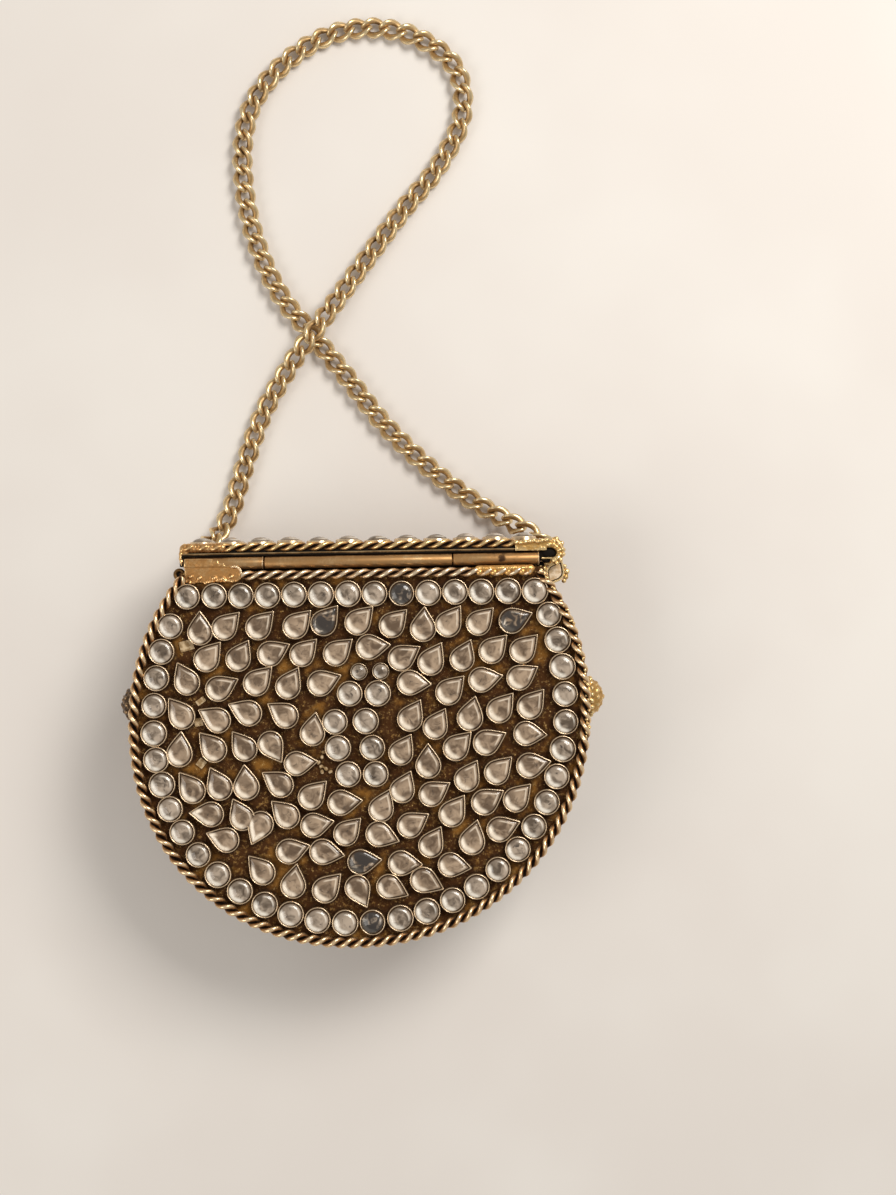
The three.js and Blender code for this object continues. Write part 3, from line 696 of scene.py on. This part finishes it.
def twisted_rope(name, points, bump, body, node, finish, grow=1.0):
    """Two wires turned about each other along a line of points, with a bump to every half turn."""
    length = sum((b - a).length for a, b in zip(points, points[1:])) - 2 * rope_trim
    turns = max(1, round(length / (2 * bump)))
    rope = new_piece(
        bpy.ops.mesh.primitive_circle_add, vertices=strand_sides, radius=wire * grow,
        location=(0, 0, wire_off_axis * grow), rotation=(0, math.pi / 2, 0),
    )
    open_up(rope)
    bpy.ops.mesh.duplicate_move(TRANSFORM_OT_translate={"value": (0, 0, -2 * wire_off_axis * grow)})
    bpy.ops.object.mode_set(mode="OBJECT")
    work(
        rope, "SCREW", axis="X", angle=-2 * math.pi, screw_offset=length / turns, iterations=turns,
        steps=steps_per_turn, render_steps=steps_per_turn, use_merge_vertices=False,
    )
    open_up(rope)
    bpy.ops.mesh.fill_holes(sides=0)
    close_up(60)
    reach = (wire + wire_off_axis) * grow
    # Painted light: the wires' crests carry a high rise, painted as highlights, and the grooves between them a low
    # one, painted as shade.
    write_on(rope, "rise", lambda point: (math.hypot(point.y, point.z) / reach - 0.45) / 0.55)
    line = bpy.data.curves.new("line", "CURVE")
    line.dimensions = "3D"
    line.twist_mode = "Z_UP"
    spline = line.splines.new("POLY")
    spline.points.add(len(points) - 1)
    for point, spot in zip(spline.points, points):
        point.co = (*spot, 1)
    guide = bpy.data.objects.new("line", line)
    scene.collection.objects.link(guide)
    low = min(vertex.co.x for vertex in rope.data.vertices)
    rope.data.transform(Matrix.Translation((rope_trim - low, 0, 0)))
    work(rope, "CURVE", object=guide, deform_axis="POS_X")
    bpy.data.objects.remove(guide)
    put_on(finish, rope, name=name)
    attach(rope, body)
    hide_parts(node)


rim_brass = brass_finish("rim_rope_brass", (0.95, 0.7, 0.42), (0.4, 0.2, 0.075), (0.025, 0.011, 0.005), 260, 0.15)
top_brass = brass_finish("top_rope_brass", (0.9, 0.72, 0.5), (0.5, 0.3, 0.15), (0.03, 0.013, 0.006), 260, 0.15)
lid_brass = brass_finish("lid_rope_brass", (0.85, 0.62, 0.3), (0.46, 0.25, 0.09), (0.03, 0.013, 0.006), 260, 0.15)
top_line = [Vector((x, shoulder, rope_z)) for x in (-0.0375, 0.0564)]
lid_line = [Vector((x, 0.05585, 0.041)) for x in (-0.0552, 0.051)]
twisted_rope("rim_rope", rim_points(rim_inset, rope_z), rim_bump, "case", "rope_back_rim", rim_brass, thick_wire)
twisted_rope("top_rope", top_line, straight_bump, "case", "rope_back_top", top_brass)
twisted_rope("lid_rope", lid_line, straight_bump, "lid", "rope_lid_back", lid_brass)
twisted_rope("flap_rope", rim_points(rim_inset, flap_rope_z), rim_bump, "lid", "rope_flap_rim", rim_brass, thick_wire)


# Hinge: tubes of rolled brass on one pin, with their ends rounded. The left one ends in a thin
# pale flare, and its leaf is soldered to the back.
barrel_y = 0.0506
barrel_z = 0.0426
barrel_radius = 0.0021
bore = 0.0012
end_rounding = 0.0003


def barrel(name, start, end, body, node, finish):
    """A tube along X with rounded ends, drilled at both."""
    tube = new_piece(
        bpy.ops.mesh.primitive_cylinder_add, vertices=36, radius=barrel_radius, depth=end - start,
        location=((start + end) / 2, barrel_y, barrel_z), rotation=(0, math.pi / 2, 0),
    )
    for part in (*tube.data.vertices, *tube.data.edges):
        part.select = False
    for face in tube.data.polygons:
        face.select = abs(face.normal.x) > 0.9
    bpy.ops.object.mode_set(mode="EDIT")
    bpy.ops.mesh.select_mode(type="FACE")
    bpy.ops.mesh.bevel(offset=end_rounding, segments=3)
    bpy.ops.object.mode_set(mode="OBJECT")
    for face in tube.data.polygons:
        face.select = abs(face.normal.x) > 0.99 and len(face.vertices) > 8
    bpy.ops.object.mode_set(mode="EDIT")
    bpy.ops.mesh.inset(thickness=barrel_radius - end_rounding - bore)
    bpy.ops.mesh.inset(thickness=0.0001, depth=-0.0014)
    close_up(35)
    # Painted shade: the tube's brass darkens toward its two flanks, away from its crest.
    write_on(tube, "rise", lambda point: 0.62 - 2.6 * max(0.0, abs(point.y - barrel_y) / barrel_radius - 0.72))
    put_on(finish, tube, name=name)
    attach(tube, body)
    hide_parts(node)


tube_colours = (0.66, 0.44, 0.22), (0.42, 0.23, 0.09), (0.06, 0.028, 0.012)
tube_brass = brass_finish("tube_brass", *tube_colours, 110, 0.1)
stained_brass = brass_finish("stained_tube_brass", *tube_colours, 110, 0.1, stain=(0.047, 0.0509, 0.0447))
barrel("left_barrel", -0.0557, -0.0303, "case", "hinge_knuckle_left", tube_brass)
barrel("middle_barrel", -0.0299, 0.0307, "lid", "hinge_knuckle_middle", tube_brass)
barrel("right_barrel", 0.0311, 0.0589, "case", "hinge_knuckle_right", stained_brass)
put_on(sheet_brass, frame["nodes"]["hinge_pin"])


def lump(spot, size, turn=0.0):
    """A rounded drop of solder or a granule, at its place and size."""
    return new_piece(
        bpy.ops.mesh.primitive_ico_sphere_add, subdivisions=2, radius=1, location=spot, scale=size,
        rotation=(0, 0, math.radians(turn)),
    )


def slab(low, high):
    """A flat piece of sheet between two corners."""
    return new_piece(
        bpy.ops.mesh.primitive_cube_add, size=1, location=[(a + b) / 2 for a, b in zip(low, high)],
        scale=[b - a for a, b in zip(low, high)],
    )


def ring(spot, radius, wire, turn=(0, 0, 0)):
    """A ring of wire at its place."""
    return new_piece(
        bpy.ops.mesh.primitive_torus_add, major_segments=36, minor_segments=12, major_radius=radius,
        minor_radius=wire, location=spot, rotation=turn,
    )


def mark_hollows(piece):
    """Writes how far each point stands out from those round it, so that the finish paints shade into the hollows and
    brightens what stands out as painted highlight.
    """
    middle, depth, rounds = 0.6, 0.32, 5
    mesh = piece.data
    stands = [0.0] * len(mesh.vertices)
    for edge in mesh.edges:
        first, second = (mesh.vertices[index] for index in edge.vertices)
        gap = second.co - first.co
        stands[first.index] -= gap.dot(first.normal)
        stands[second.index] += gap.dot(second.normal)
    for _ in range(rounds):
        shared = list(stands)
        for edge in mesh.edges:
            first, second = edge.vertices
            shared[first] += stands[second]
            shared[second] += stands[first]
        stands = [value / 5 for value in shared]
    full = sorted(abs(value) for value in stands)[int(len(stands) * 0.9)]
    rise = mesh.attributes.new("rise", "FLOAT", "POINT")
    rise.data.foreach_set("value", [middle + depth * value / full for value in stands])


def soldered(name, pieces, body, slot, finish, *nodes, voxel=0.00022, ripple=0.00025, grain=0.0009):
    """Runs pieces together as solder does: joined, fused, smoothed and left a little uneven."""
    whole = joined(pieces)
    work(whole, "REMESH", mode="VOXEL", voxel_size=voxel)
    work(whole, "SMOOTH", factor=0.5, iterations=3)
    make_uneven(whole, grain, mid_level=0.5, strength=ripple)
    bpy.ops.object.shade_smooth()
    mark_hollows(whole)
    put_on(finish, whole, name=name)
    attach(whole, body)
    if nodes:
        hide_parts(*nodes)


copper_solder = brass_finish("copper_solder", (0.78, 0.5, 0.23), (0.46, 0.23, 0.075), (0.07, 0.03, 0.012), 260, 0.25)
pale_brass = brass_finish(
    "pale_brass", (0.9, 0.74, 0.52), (0.68, 0.46, 0.25), (0.2, 0.1, 0.04), 300, 0.1, rise=0.75
)
leaf_parts = [
    slab((-0.0558, 0.0453, 0.0436), (-0.0377, 0.0490, 0.0445)),
    lump((-0.0378, 0.0470, 0.0442), (0.0006, 0.0016, 0.0005)),
]
for degrees, end in ((58, -0.0386), (34, -0.0405), (10, -0.0428), (-14, -0.0447), (-38, -0.0466)):
    strip = slab((-0.0559, -0.00052, 0.00172), (end, 0.00052, 0.00224))
    strip.data.transform(Matrix.Translation((0, barrel_y, barrel_z)) @ Matrix.Rotation(math.radians(degrees), 4, "X"))
    leaf_parts.append(strip)
for i in range(14):
    spot = (-0.0554 + i * 0.00126, 0.0452 - random.uniform(0, 0.0007), 0.0441)
    leaf_parts.append(lump(spot, (random.uniform(0.0006, 0.001), 0.0007, random.uniform(0.0004, 0.0007))))
for x, y in ((-0.0511, 0.0460), (-0.0463, 0.0459), (-0.0408, 0.0463), (-0.0538, 0.0465), (-0.0436, 0.0457)):
    leaf_parts.append(lump((x, y, 0.0445), (0.0009, 0.0006, 0.0006), 15))
soldered("hinge_leaf", leaf_parts, "case", "worn_brass", copper_solder, ripple=0.00022, grain=0.0016)
leaf_lip = [lump((x, y, 0.0445), (0.0005, 0.0005, 0.0004)) for x, y in (
    (-0.0404, 0.0495), (-0.0397, 0.0496), (-0.0390, 0.0495), (-0.0384, 0.0492), (-0.0379, 0.0487),
    (-0.0376, 0.0481), (-0.0375, 0.0474),
)]
soldered("leaf_lip", leaf_lip, "case", "worn_brass", pale_brass, voxel=0.00014, ripple=0.00004)
for name, x, thick in (("barrel_flare", -0.0306, 0.00016), ("end_flare", 0.0586, 0.00026)):
    flare = ring((x, barrel_y, barrel_z), barrel_radius - 0.00012, thick, (0, math.pi / 2, 0))
    bpy.ops.object.shade_smooth()
    put_on(pale_brass, flare, name=name)
    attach(flare, "case")


# Solder over the ropes' ends: a copper run with a rounded tip on the lid's left end, a bright ridged
# one at the right end of the back's rope, and granules of it along the rim below the right shoulder.
bright_solder = brass_finish("bright_solder", (0.92, 0.68, 0.34), (0.52, 0.3, 0.09), (0.05, 0.022, 0.008), 360, 0.35)
orange_solder = brass_finish("orange_solder", (0.88, 0.54, 0.2), (0.55, 0.27, 0.07), (0.09, 0.035, 0.01), 300, 0.25)
# Dark brass standing for painted shade: in gaps, behind pieces, round the empty setting's floor and on the left boss.
painted_shade_brass = brass_finish("painted_shade_brass", (0.36, 0.23, 0.12), (0.065, 0.037, 0.019), (0.01, 0.007, 0.005), 500, 0.5)
run = [lump((-0.0560 + i * 0.0011, 0.0558, 0.0411), (0.0013, 0.00168, 0.0015)) for i in range(12)]
run.extend(lump((x, 0.0558, 0.0412), (0.0024, 0.001, 0.00175), 28) for x in (-0.0547, -0.0501, -0.0456))
run.extend(lump(spot, size) for spot, size in (
    ((-0.0568, 0.0553, 0.0411), (0.0010, 0.0017, 0.0016)), ((-0.0572, 0.0539, 0.0416), (0.0008, 0.0012, 0.0012)),
    ((-0.0573, 0.0526, 0.0421), (0.0006, 0.0010, 0.0009)), ((-0.0560, 0.0543, 0.0414), (0.0013, 0.0009, 0.0010)),
    ((-0.0570, 0.0514, 0.0423), (0.0007, 0.0008, 0.0006)), ((-0.0570, 0.0503, 0.0421), (0.0006, 0.0007, 0.0006)),
))
soldered("lid_left_solder", run, "lid", "dark_brass", copper_solder, "lid_rope_tip", ripple=0.0002, grain=0.0014)
# A dark strip under the lid's rope: painted shade in the gap there.
gap_shade = slab((-0.0550, 0.0538, 0.0396), (0.0508, 0.0552, 0.0408))
put_on(painted_shade_brass, gap_shade, name="lid_rope_gap_shade")
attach(gap_shade, "lid")
run = [lump((0.0392 + i * 0.0007, 0.0475, 0.0457), (0.0013, 0.0011, 0.0012)) for i in range(25)]
run.extend(lump((0.0395 + i * 0.0023, 0.0464, 0.0458), (0.0014, 0.0011, 0.00118), 35) for i in range(8))
run.append(lump((0.0562, 0.0472, 0.0456), (0.0012, 0.0014, 0.0013)))
soldered("back_right_solder", run, "case", "worn_brass", orange_solder, ripple=0.00025, grain=0.0012)
run = []
for spot in rim_points(0.0013, 0.0459)[:42]:
    nudge = Vector([random.uniform(-0.0005, 0.0005) for _ in "xyz"])
    run.append(lump(spot + nudge, [random.uniform(0.0004, 0.0009) for _ in "xyz"]))
soldered("rim_granules", run, "case", "wire_rope", bright_solder, voxel=0.0002, ripple=0.0003, grain=0.0006)


# Right corner of the lid: a strip of brass, soldered on, with a granulated strap that bends round the
# gap at the hinge's end.
corner = [
    slab((0.0512, 0.0531, 0.0429), (0.0614, 0.0562, 0.0437)), slab((0.0596, 0.0503, 0.0427), (0.0646, 0.0509, 0.0434)),
]
for i in range(8):
    spot = (
        0.0518 + i * 0.00135 + random.uniform(-0.0003, 0.0003), 0.0562 + random.uniform(-0.0005, 0.0003), 0.0434,
    )
    corner.append(lump(spot, (0.001, 0.0008, random.uniform(0.0007, 0.0012))))
strap_line = [
    (0.0622, 0.0550, 62), (0.0635, 0.0549, 78), (0.0646, 0.0542, 50), (0.0654, 0.0531, 20),
    (0.0656, 0.0518, 0), (0.0650, 0.0506, -35), (0.0640, 0.0499, -60),
]
for x, y, outward in strap_line:
    side = Vector((math.cos(math.radians(outward)), math.sin(math.radians(outward)), 0))
    corner.append(lump((x, y, 0.0430), [random.uniform(0.0011, 0.0013) for _ in "xyz"]))
    corner.append(lump(Vector((x, y, 0.0434)) + side * 0.0011, [random.uniform(0.0006, 0.0009) for _ in "xyz"]))
soldered("corner_strap", corner, "lid", "worn_brass", bright_solder, "lid_cap_strip", voxel=0.0002, ripple=0.00022)


def shade_lump(name, spot, size, body):
    """A dark lump in the gap behind a piece: painted shade there."""
    piece = lump(spot, size)
    bpy.ops.object.shade_smooth()
    put_on(painted_shade_brass, piece, name=name)
    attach(piece, body)


shade_lump("strap_gap_shade", (0.0622, 0.0525, 0.0424), (0.0028, 0.0020, 0.0004), "lid")
shade_lump("strap_foot_shade", (0.0612, 0.0500, 0.0422), (0.0015, 0.0009, 0.0005), "lid")


# Right collar, low on the lid's end: a thick ring of brass wire that holds the chain, beaded with
# solder, on a small plate that is soldered to the lid.
collar_spot = (0.06484, 0.0543, 0.013)
collar = [slab((0.0608, 0.0498, 0.0095), (0.0616, 0.054, 0.0165)), ring(collar_spot, 0.0032, 0.0009)]
for degrees in (-75, -40, -5, 30, 65):
    angle = math.radians(degrees)
    spot = (collar_spot[0] + 0.0039 * math.cos(angle), collar_spot[1] + 0.0039 * math.sin(angle), collar_spot[2])
    collar.append(lump(spot, (0.0009, 0.0009, 0.0009)))
soldered("beaded_collar", collar, "lid", "worn_brass", bright_solder, "end_ornament_right", ripple=0.00012)


# Left lug, under the lid's left end: a small plate of brass, soldered on, with a ring of wire for
# the chain's first link.
left_ring = Vector((-0.0535, 0.0573, 0.013))
first_link = Vector((-0.0505, 0.0605, 0.008))
left_pull = (first_link - left_ring).normalized()
across = left_pull.cross(up).normalized()
lug = [
    slab((-0.0553, 0.0543, 0.012), (-0.0517, 0.0551, 0.0166)),
    ring(left_ring, 0.0022, 0.0006, across.to_track_quat("Z", "Y").to_euler()),
]
soldered("wire_lug", lug, "lid", "chain", pale_brass, "chain_lug_left", voxel=0.00015, ripple=0.00008)


# Bosses: domes of thin brass on the two sides of the band, ringed with granules. The right one is
# bright gold; the left one is painted almost black, painted shade on the side turned from the light.
boss_y = 0.0045
boss_z = 0.0251
boss_foot = 0.07255
boss_radius = 0.0078
dome_steps = (0.0012, 1), (0.0004, 0.93), (0.0018, 0.88), (0.0018, 0.82), (0.0013, 0.72), (0.0008, 0.6), (0.0003, 0.5)
granule_rings = (
    (0.0014, 0.0073, 26, 0.0008), (0.0035, 0.0062, 18, 0.00085), (0.0055, 0.0045, 12, 0.0008),
    (0.0068, 0.0026, 7, 0.00075), (0.0075, 0.0, 1, 0.0009),
)


def boss(name, side, node, finish):
    """A dome that looks sideways, with rings of granules and one on its top."""
    foot = side * boss_foot + 0.0001
    dome = new_piece(
        bpy.ops.mesh.primitive_circle_add, vertices=40, radius=boss_radius, fill_type="NGON",
        location=(foot, boss_y, boss_z), rotation=(0, side * math.pi / 2, 0),
    )
    open_up(dome)
    raise_steps((side, 0, 0), (foot, boss_y, boss_z), dome_steps)
    close_up(30)
    parts = [dome]
    for rise, radius, count, size in granule_rings:
        for i in range(count):
            angle = 2 * math.pi * i / count
            spot = (foot + side * rise, boss_y + radius * math.cos(angle), boss_z + radius * math.sin(angle))
            parts.append(lump(spot, [size * random.uniform(0.85, 1.15)] * 3))
    soldered(name, parts, "case", "worn_brass", finish, node, voxel=0.00025, ripple=0.0003, grain=0.0006)


boss("right_boss", 1, "side_boss_right", bright_solder)
boss("left_boss", -1, "side_boss_left", painted_shade_brass)


# Empty setting at the right shoulder: a leaf of bent strip whose stone is lost, with the pale cement
# left in it, and a few granules. At the left shoulder there is only a small wire eye.
leaf_middle = (0.0642, 0.0460, 0.0376)
floor_level = 0.0400
bezel = new_piece(
    bpy.ops.mesh.primitive_circle_add, vertices=24, radius=0.0031, fill_type="NGON", location=leaf_middle
)
tips = [vertex.index for vertex in bezel.data.vertices if abs(vertex.co.y - leaf_middle[1]) < 0.00001]
for tip in tips:
    direction = 1 if bezel.data.vertices[tip].co.x > leaf_middle[0] else -1
    pull_tip(bezel, tip, direction * 0.0016, 0.003)
    bpy.ops.object.mode_set(mode="OBJECT")
bpy.ops.object.mode_set(mode="EDIT")
bpy.ops.mesh.select_mode(type="FACE")
bpy.ops.mesh.select_all(action="SELECT")
bpy.ops.transform.rotate(value=math.radians(-60), orient_axis="Z", center_override=leaf_middle)
draw_out(0, 0, 0.0028)
for thickness, depth in ((0.0002, 0.0002), (0.00035, 0), (0.0002, -0.0002)):
    bpy.ops.mesh.inset(thickness=thickness, depth=depth)
draw_out(0, 0, -0.0004)
bpy.ops.mesh.inset(thickness=0.0003, depth=0)
close_up(40)

# Crumbly dried cement in two tones.
dried_cement, inside = new_group(
    "dried_cement", {"Deep": "Color", "Pale": "Color"}, {"Color": "Color", "Height": "Float"}
)
grit = noise(dried_cement, Scale=700, Detail=4)
fill(dried_cement, add(dried_cement, "NodeGroupOutput"), {
    "Color": layers(dried_cement, inside["Deep"], (step(dried_cement, grit, 0.4, 0.62), inside["Pale"])),
    "Height": grit,
})


def cement_finish(name, deep, pale):
    """Dried cement in its two colours."""
    material, tree, dry = new_material(name)
    effect = add(tree, "ShaderNodeGroup", {"Deep": deep, "Pale": pale}, node_tree=dried_cement).outputs
    normal = bumps(tree, effect["Height"], 0.6)
    fill(tree, dry, {"Base Color": effect["Color"], "Roughness": 0.75, "Normal": normal})
    return material


pale_cement = cement_finish("pale_cement", (0.62, 0.44, 0.25), (0.87, 0.7, 0.5))
leaf_gold = brass_finish(
    "leaf_gold", (0.97, 0.78, 0.45), (0.7, 0.46, 0.18), (0.1, 0.05, 0.02), 500, 0.5, rise=0.85
)
put_on(leaf_gold, bezel, name="leaf_setting")
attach(bezel, "case")
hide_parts("corner_leaf_right")
bezel.data.materials.append(pale_cement)
# The ring round the setting's floor is painted dark: painted shade at the foot of its wall.
bezel.data.materials.append(painted_shade_brass)
for face in bezel.data.polygons:
    if abs(face.center.z - floor_level) < 0.00005:
        face.material_index = 1 if len(face.vertices) > 4 else 2
crumbs = [lump((x, y, floor_level), [size * 1.15] * 3) for x, y, size in (
    (0.0679, 0.0462, 0.0009), (0.0672, 0.0479, 0.0007), (0.0606, 0.0472, 0.0009), (0.0610, 0.0486, 0.0008),
    (0.0624, 0.0497, 0.0008), (0.0594, 0.0480, 0.0007), (0.0600, 0.0461, 0.0007), (0.0676, 0.0445, 0.0008),
    (0.0670, 0.0432, 0.0007),
)]
crumbs.append(lump((0.0618, 0.0489, 0.0403), (0.0017, 0.0008, 0.0008)))
soldered("leaf_granules", crumbs, "case", "worn_brass", bright_solder, voxel=0.00018, ripple=0.0002, grain=0.0005)
eye = ring((-0.058, 0.0474, 0.0406), 0.0014, 0.0006)
bpy.ops.object.shade_smooth()
put_on(dark_brass, eye, name="shoulder_eye")
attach(eye, "case")
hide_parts("corner_eye_left")
shade_lump("eye_gap_shade", (-0.0580, 0.0474, 0.0402), (0.0012, 0.0012, 0.0005), "case")
shade_lump("leaf_gap_shade", (0.0597, 0.0487, 0.0401), (0.0018, 0.0009, 0.0008), "case")


# Cement: pale crumbs squeezed out beside the middle stones, and bare patches where small pieces of
# card filled the gaps between the drops.
cement = cement_finish("old_cement", (0.3, 0.19, 0.08), (0.62, 0.47, 0.28))
crumbs = [lump((x, y, 0.0441), (0.0008, 0.0006, 0.0007), turn) for x, y, turn in (
    (-0.0118, -0.0108, 20), (-0.0124, -0.0124, 80), (-0.0136, -0.0142, 60), (-0.0127, -0.0155, 10),
    (-0.0112, -0.0163, 150), (-0.0098, -0.0172, 30), (-0.0125, -0.0172, 100),
)]
soldered("cement_crumbs", crumbs, "case", "set_sheet", cement, voxel=0.00018, ripple=0.0003, grain=0.0005)
for number, (x, y, turn, length, width) in enumerate((
    (-0.0556, 0.0243, 15, 0.0046, 0.0034), (-0.0513, 0.0063, 35, 0.0032, 0.0018),
    (-0.0521, -0.0005, 10, 0.0028, 0.0026), (-0.0515, -0.0138, 50, 0.0028, 0.0026),
)):
    card = slab((-length / 2, -width / 2, 0.0437), (length / 2, width / 2, 0.04405))
    card.data.transform(Matrix.Translation((x, y, 0)) @ Matrix.Rotation(math.radians(turn), 4, "Z"))
    smooth_edges(card, 30, 0.00012)
    put_on(cement, card, name=f"card_patch_{number + 1}")
    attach(card, "case")


# Chain: a curb chain of pale gold wire, each link an oval twisted about its length, hung from a
# ring under the lid's left end and from the beaded collar on its right.
chain_points = [
    (-0.0505, 0.0605, 0.008, -15), (-0.0485, 0.064, 0.004, 0), (-0.0455, 0.07, 0.0028, 0),
    (-0.041, 0.084, 0.0027, 0), (-0.034, 0.103, 0.0027, 0), (-0.025, 0.118, 0.0045, 0),
    (-0.016, 0.13, 0.0075, 0), (-0.006, 0.144, 0.0045, 0), (0.015, 0.172, 0.0027, 0),
    (0.029, 0.189, 0.0027, 0), (0.037, 0.206, 0.0027, 0), (0.035, 0.2217, 0.0027, 0),
    (0.023, 0.2322, 0.0027, 0), (0.007, 0.2364, 0.0027, 0), (-0.009, 0.234, 0.0027, 0),
    (-0.024, 0.225, 0.0027, 0), (-0.035, 0.212, 0.0027, 0), (-0.039, 0.199, 0.0027, 0),
    (-0.039, 0.181, 0.0027, 0), (-0.035, 0.162, 0.0027, 0), (-0.027, 0.144, 0.0027, 0),
    (-0.016, 0.13, 0.0027, 0), (-0.005, 0.116, 0.0027, 0), (0.008, 0.099, 0.0027, 0),
    (0.024, 0.083, 0.0027, 0), (0.041, 0.07, 0.003, 0), (0.05, 0.0645, 0.0066, 10),
    (0.057, 0.0604, 0.011, 25),
]
link_count = 79
link_half = 0.00405
link_width = 0.00255
chain_wire = 0.00085
flattened = 1.35
link_twist = math.radians(-58)

# The line runs from ring to ring through these places, and each place has the roll of the links there.
places = [Vector(point[:3]) for point in chain_points]
right_ring = Vector(collar_spot)
right_pull = ((places[-1] - right_ring) * in_plan).normalized()
line = [left_ring + left_pull * 0.0007, *places, right_ring + right_pull * 0.0014]
rolls = [-30, *(point[3] for point in chain_points), 60]


def smooth_line(points):
    """A smooth curve through the points, evenly paced by the roots of their distances."""
    per_span = 60
    line = [2 * points[0] - points[1], *points, 2 * points[-1] - points[-2]]
    dense = []
    for k in range(1, len(line) - 2):
        a, b, c, d = line[k - 1:k + 3]
        gap_a, gap_b, gap_c = (b - a).length ** 0.5, (c - b).length ** 0.5, (d - c).length ** 0.5
        leave = ((b - a) / gap_a - (c - a) / (gap_a + gap_b) + (c - b) / gap_b) * gap_b
        enter = ((c - b) / gap_b - (d - b) / (gap_b + gap_c) + (d - c) / gap_c) * gap_b
        for i in range(per_span):
            t = i / per_span
            spot = b + leave * t + (-3 * b + 3 * c - 2 * leave - enter) * t ** 2
            dense.append((spot + (2 * b - 2 * c + leave + enter) * t ** 3, k - 1 + t))
    return [*dense, (points[-1], len(points) - 1)]


dense = smooth_line(line)
walked = [0.0]
for (a, _), (b, _) in zip(dense, dense[1:]):
    walked.append(walked[-1] + (b - a).length)


def chain_frame(share):
    """The place and turn of a link at this share of the chain's length."""
    goal = share * walked[-1]
    k = max(1, next((i for i, far in enumerate(walked) if far >= goal), len(walked) - 1))
    part = (goal - walked[k - 1]) / (walked[k] - walked[k - 1])
    spot = dense[k - 1][0].lerp(dense[k][0], part)
    t = dense[k - 1][1] + (dense[k][1] - dense[k - 1][1]) * part
    step_at = min(int(t), len(rolls) - 2)
    roll = math.radians(rolls[step_at] + (rolls[step_at + 1] - rolls[step_at]) * (t - step_at))
    low, high = max(0, k - 3), min(len(dense) - 1, k + 2)
    along = (dense[high][0] - dense[low][0]).normalized()
    upward = (Vector((0, 0, 1)) - along * along.z).normalized()
    upward.rotate(Matrix.Rotation(roll, 3, along))
    return Matrix.Translation(spot) @ Matrix((along, upward.cross(along), upward)).transposed().to_4x4()


link = new_piece(
    bpy.ops.mesh.primitive_torus_add, major_segments=28, minor_segments=9, major_radius=link_width,
    minor_radius=chain_wire,
)
# Painted light: the wire's outer side carries a high rise, painted as highlight, and its inside a low one, painted as
# brown shade.
write_on(link, "rise", lambda point: 0.62 + 0.34 * (math.hypot(point.x, point.y) - link_width) / chain_wire)
for vertex in link.data.vertices:
    reach = math.hypot(vertex.co.x, vertex.co.y)
    wide = link_width + (reach - link_width) * flattened
    vertex.co.x *= wide / reach * ((wide + link_half - link_width) / wide)
    vertex.co.y *= wide / reach
twist = 2 * link_twist * (link_half + chain_wire) / link_half
work(link, "SIMPLE_DEFORM", deform_method="TWIST", deform_axis="X", angle=twist)
bpy.ops.object.shade_smooth()
chain = joined([copy_of(link, chain_frame((i + 0.5) / link_count)) for i in range(link_count)])
bpy.data.objects.remove(link)
chain_gold = brass_finish("chain_gold", (0.86, 0.68, 0.4), (0.56, 0.37, 0.17), (0.14, 0.075, 0.028), 240, 0.12)
put_on(chain_gold, chain, name="curb_chain")
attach(chain, "lid")
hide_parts(*(f"chain_run_{number:02d}" for number in range(1, 15)))


# Floor: a plain pale sheet under the object, with soft lamps above it. The key lamp stands to the
# upper right of the view, and the camera looks straight down.
floor_size = 3.0
bpy.ops.object.select_all(action="DESELECT")
bpy.ops.mesh.primitive_plane_add(size=floor_size, location=(0.03, 0.04, -0.0001))
floor = bpy.context.active_object
floor.name = "floor"
material, tree, shader = new_material("pale_floor")
veins = step(tree, noise(tree, Scale=9, Detail=3), 0.35, 0.7)
fill(tree, shader, {"Base Color": layers(tree, (0.76, 0.71, 0.66), (veins, (0.8, 0.76, 0.71))), "Roughness": 0.6})
put_on(material, floor)

world = bpy.data.worlds.new("soft_studio")
world.use_nodes = True
fill(world.node_tree, world.node_tree.nodes["Background"], {"Color": (1.0, 0.97, 0.93), "Strength": 0.42})
scene.world = world

for name, spot, aim, size, power, tint in (
    ("key_lamp", (0.45, 0.5, 0.75), (0, 0, 0), 0.4, 6.6, (1.0, 0.97, 0.93)),
    ("fill_lamp", (-0.6, -0.2, 0.7), (0, 0, 0), 0.5, 2.2, (1.0, 0.96, 0.91)),
):
    bpy.ops.object.light_add(type="AREA", location=spot)
    lamp = bpy.context.active_object
    lamp.name = name
    lamp.data.size = size
    lamp.data.energy = power
    lamp.data.color = tint
    lamp.rotation_euler = (Vector(aim) - Vector(spot)).to_track_quat("-Z", "Y").to_euler()

# The focal length is in the photograph's pixels, as its height is.
sensor, focal, photo_height = 36, 1736, 1195
bpy.ops.object.camera_add(location=(0.02917, 0.0384, 0.605), rotation=(0, 0, math.radians(-1)))
camera = bpy.context.active_object
camera.name = "photo_camera"
camera.data.sensor_width = sensor
camera.data.lens = sensor * focal / photo_height
camera.data.clip_start = 0.01
scene.camera = camera
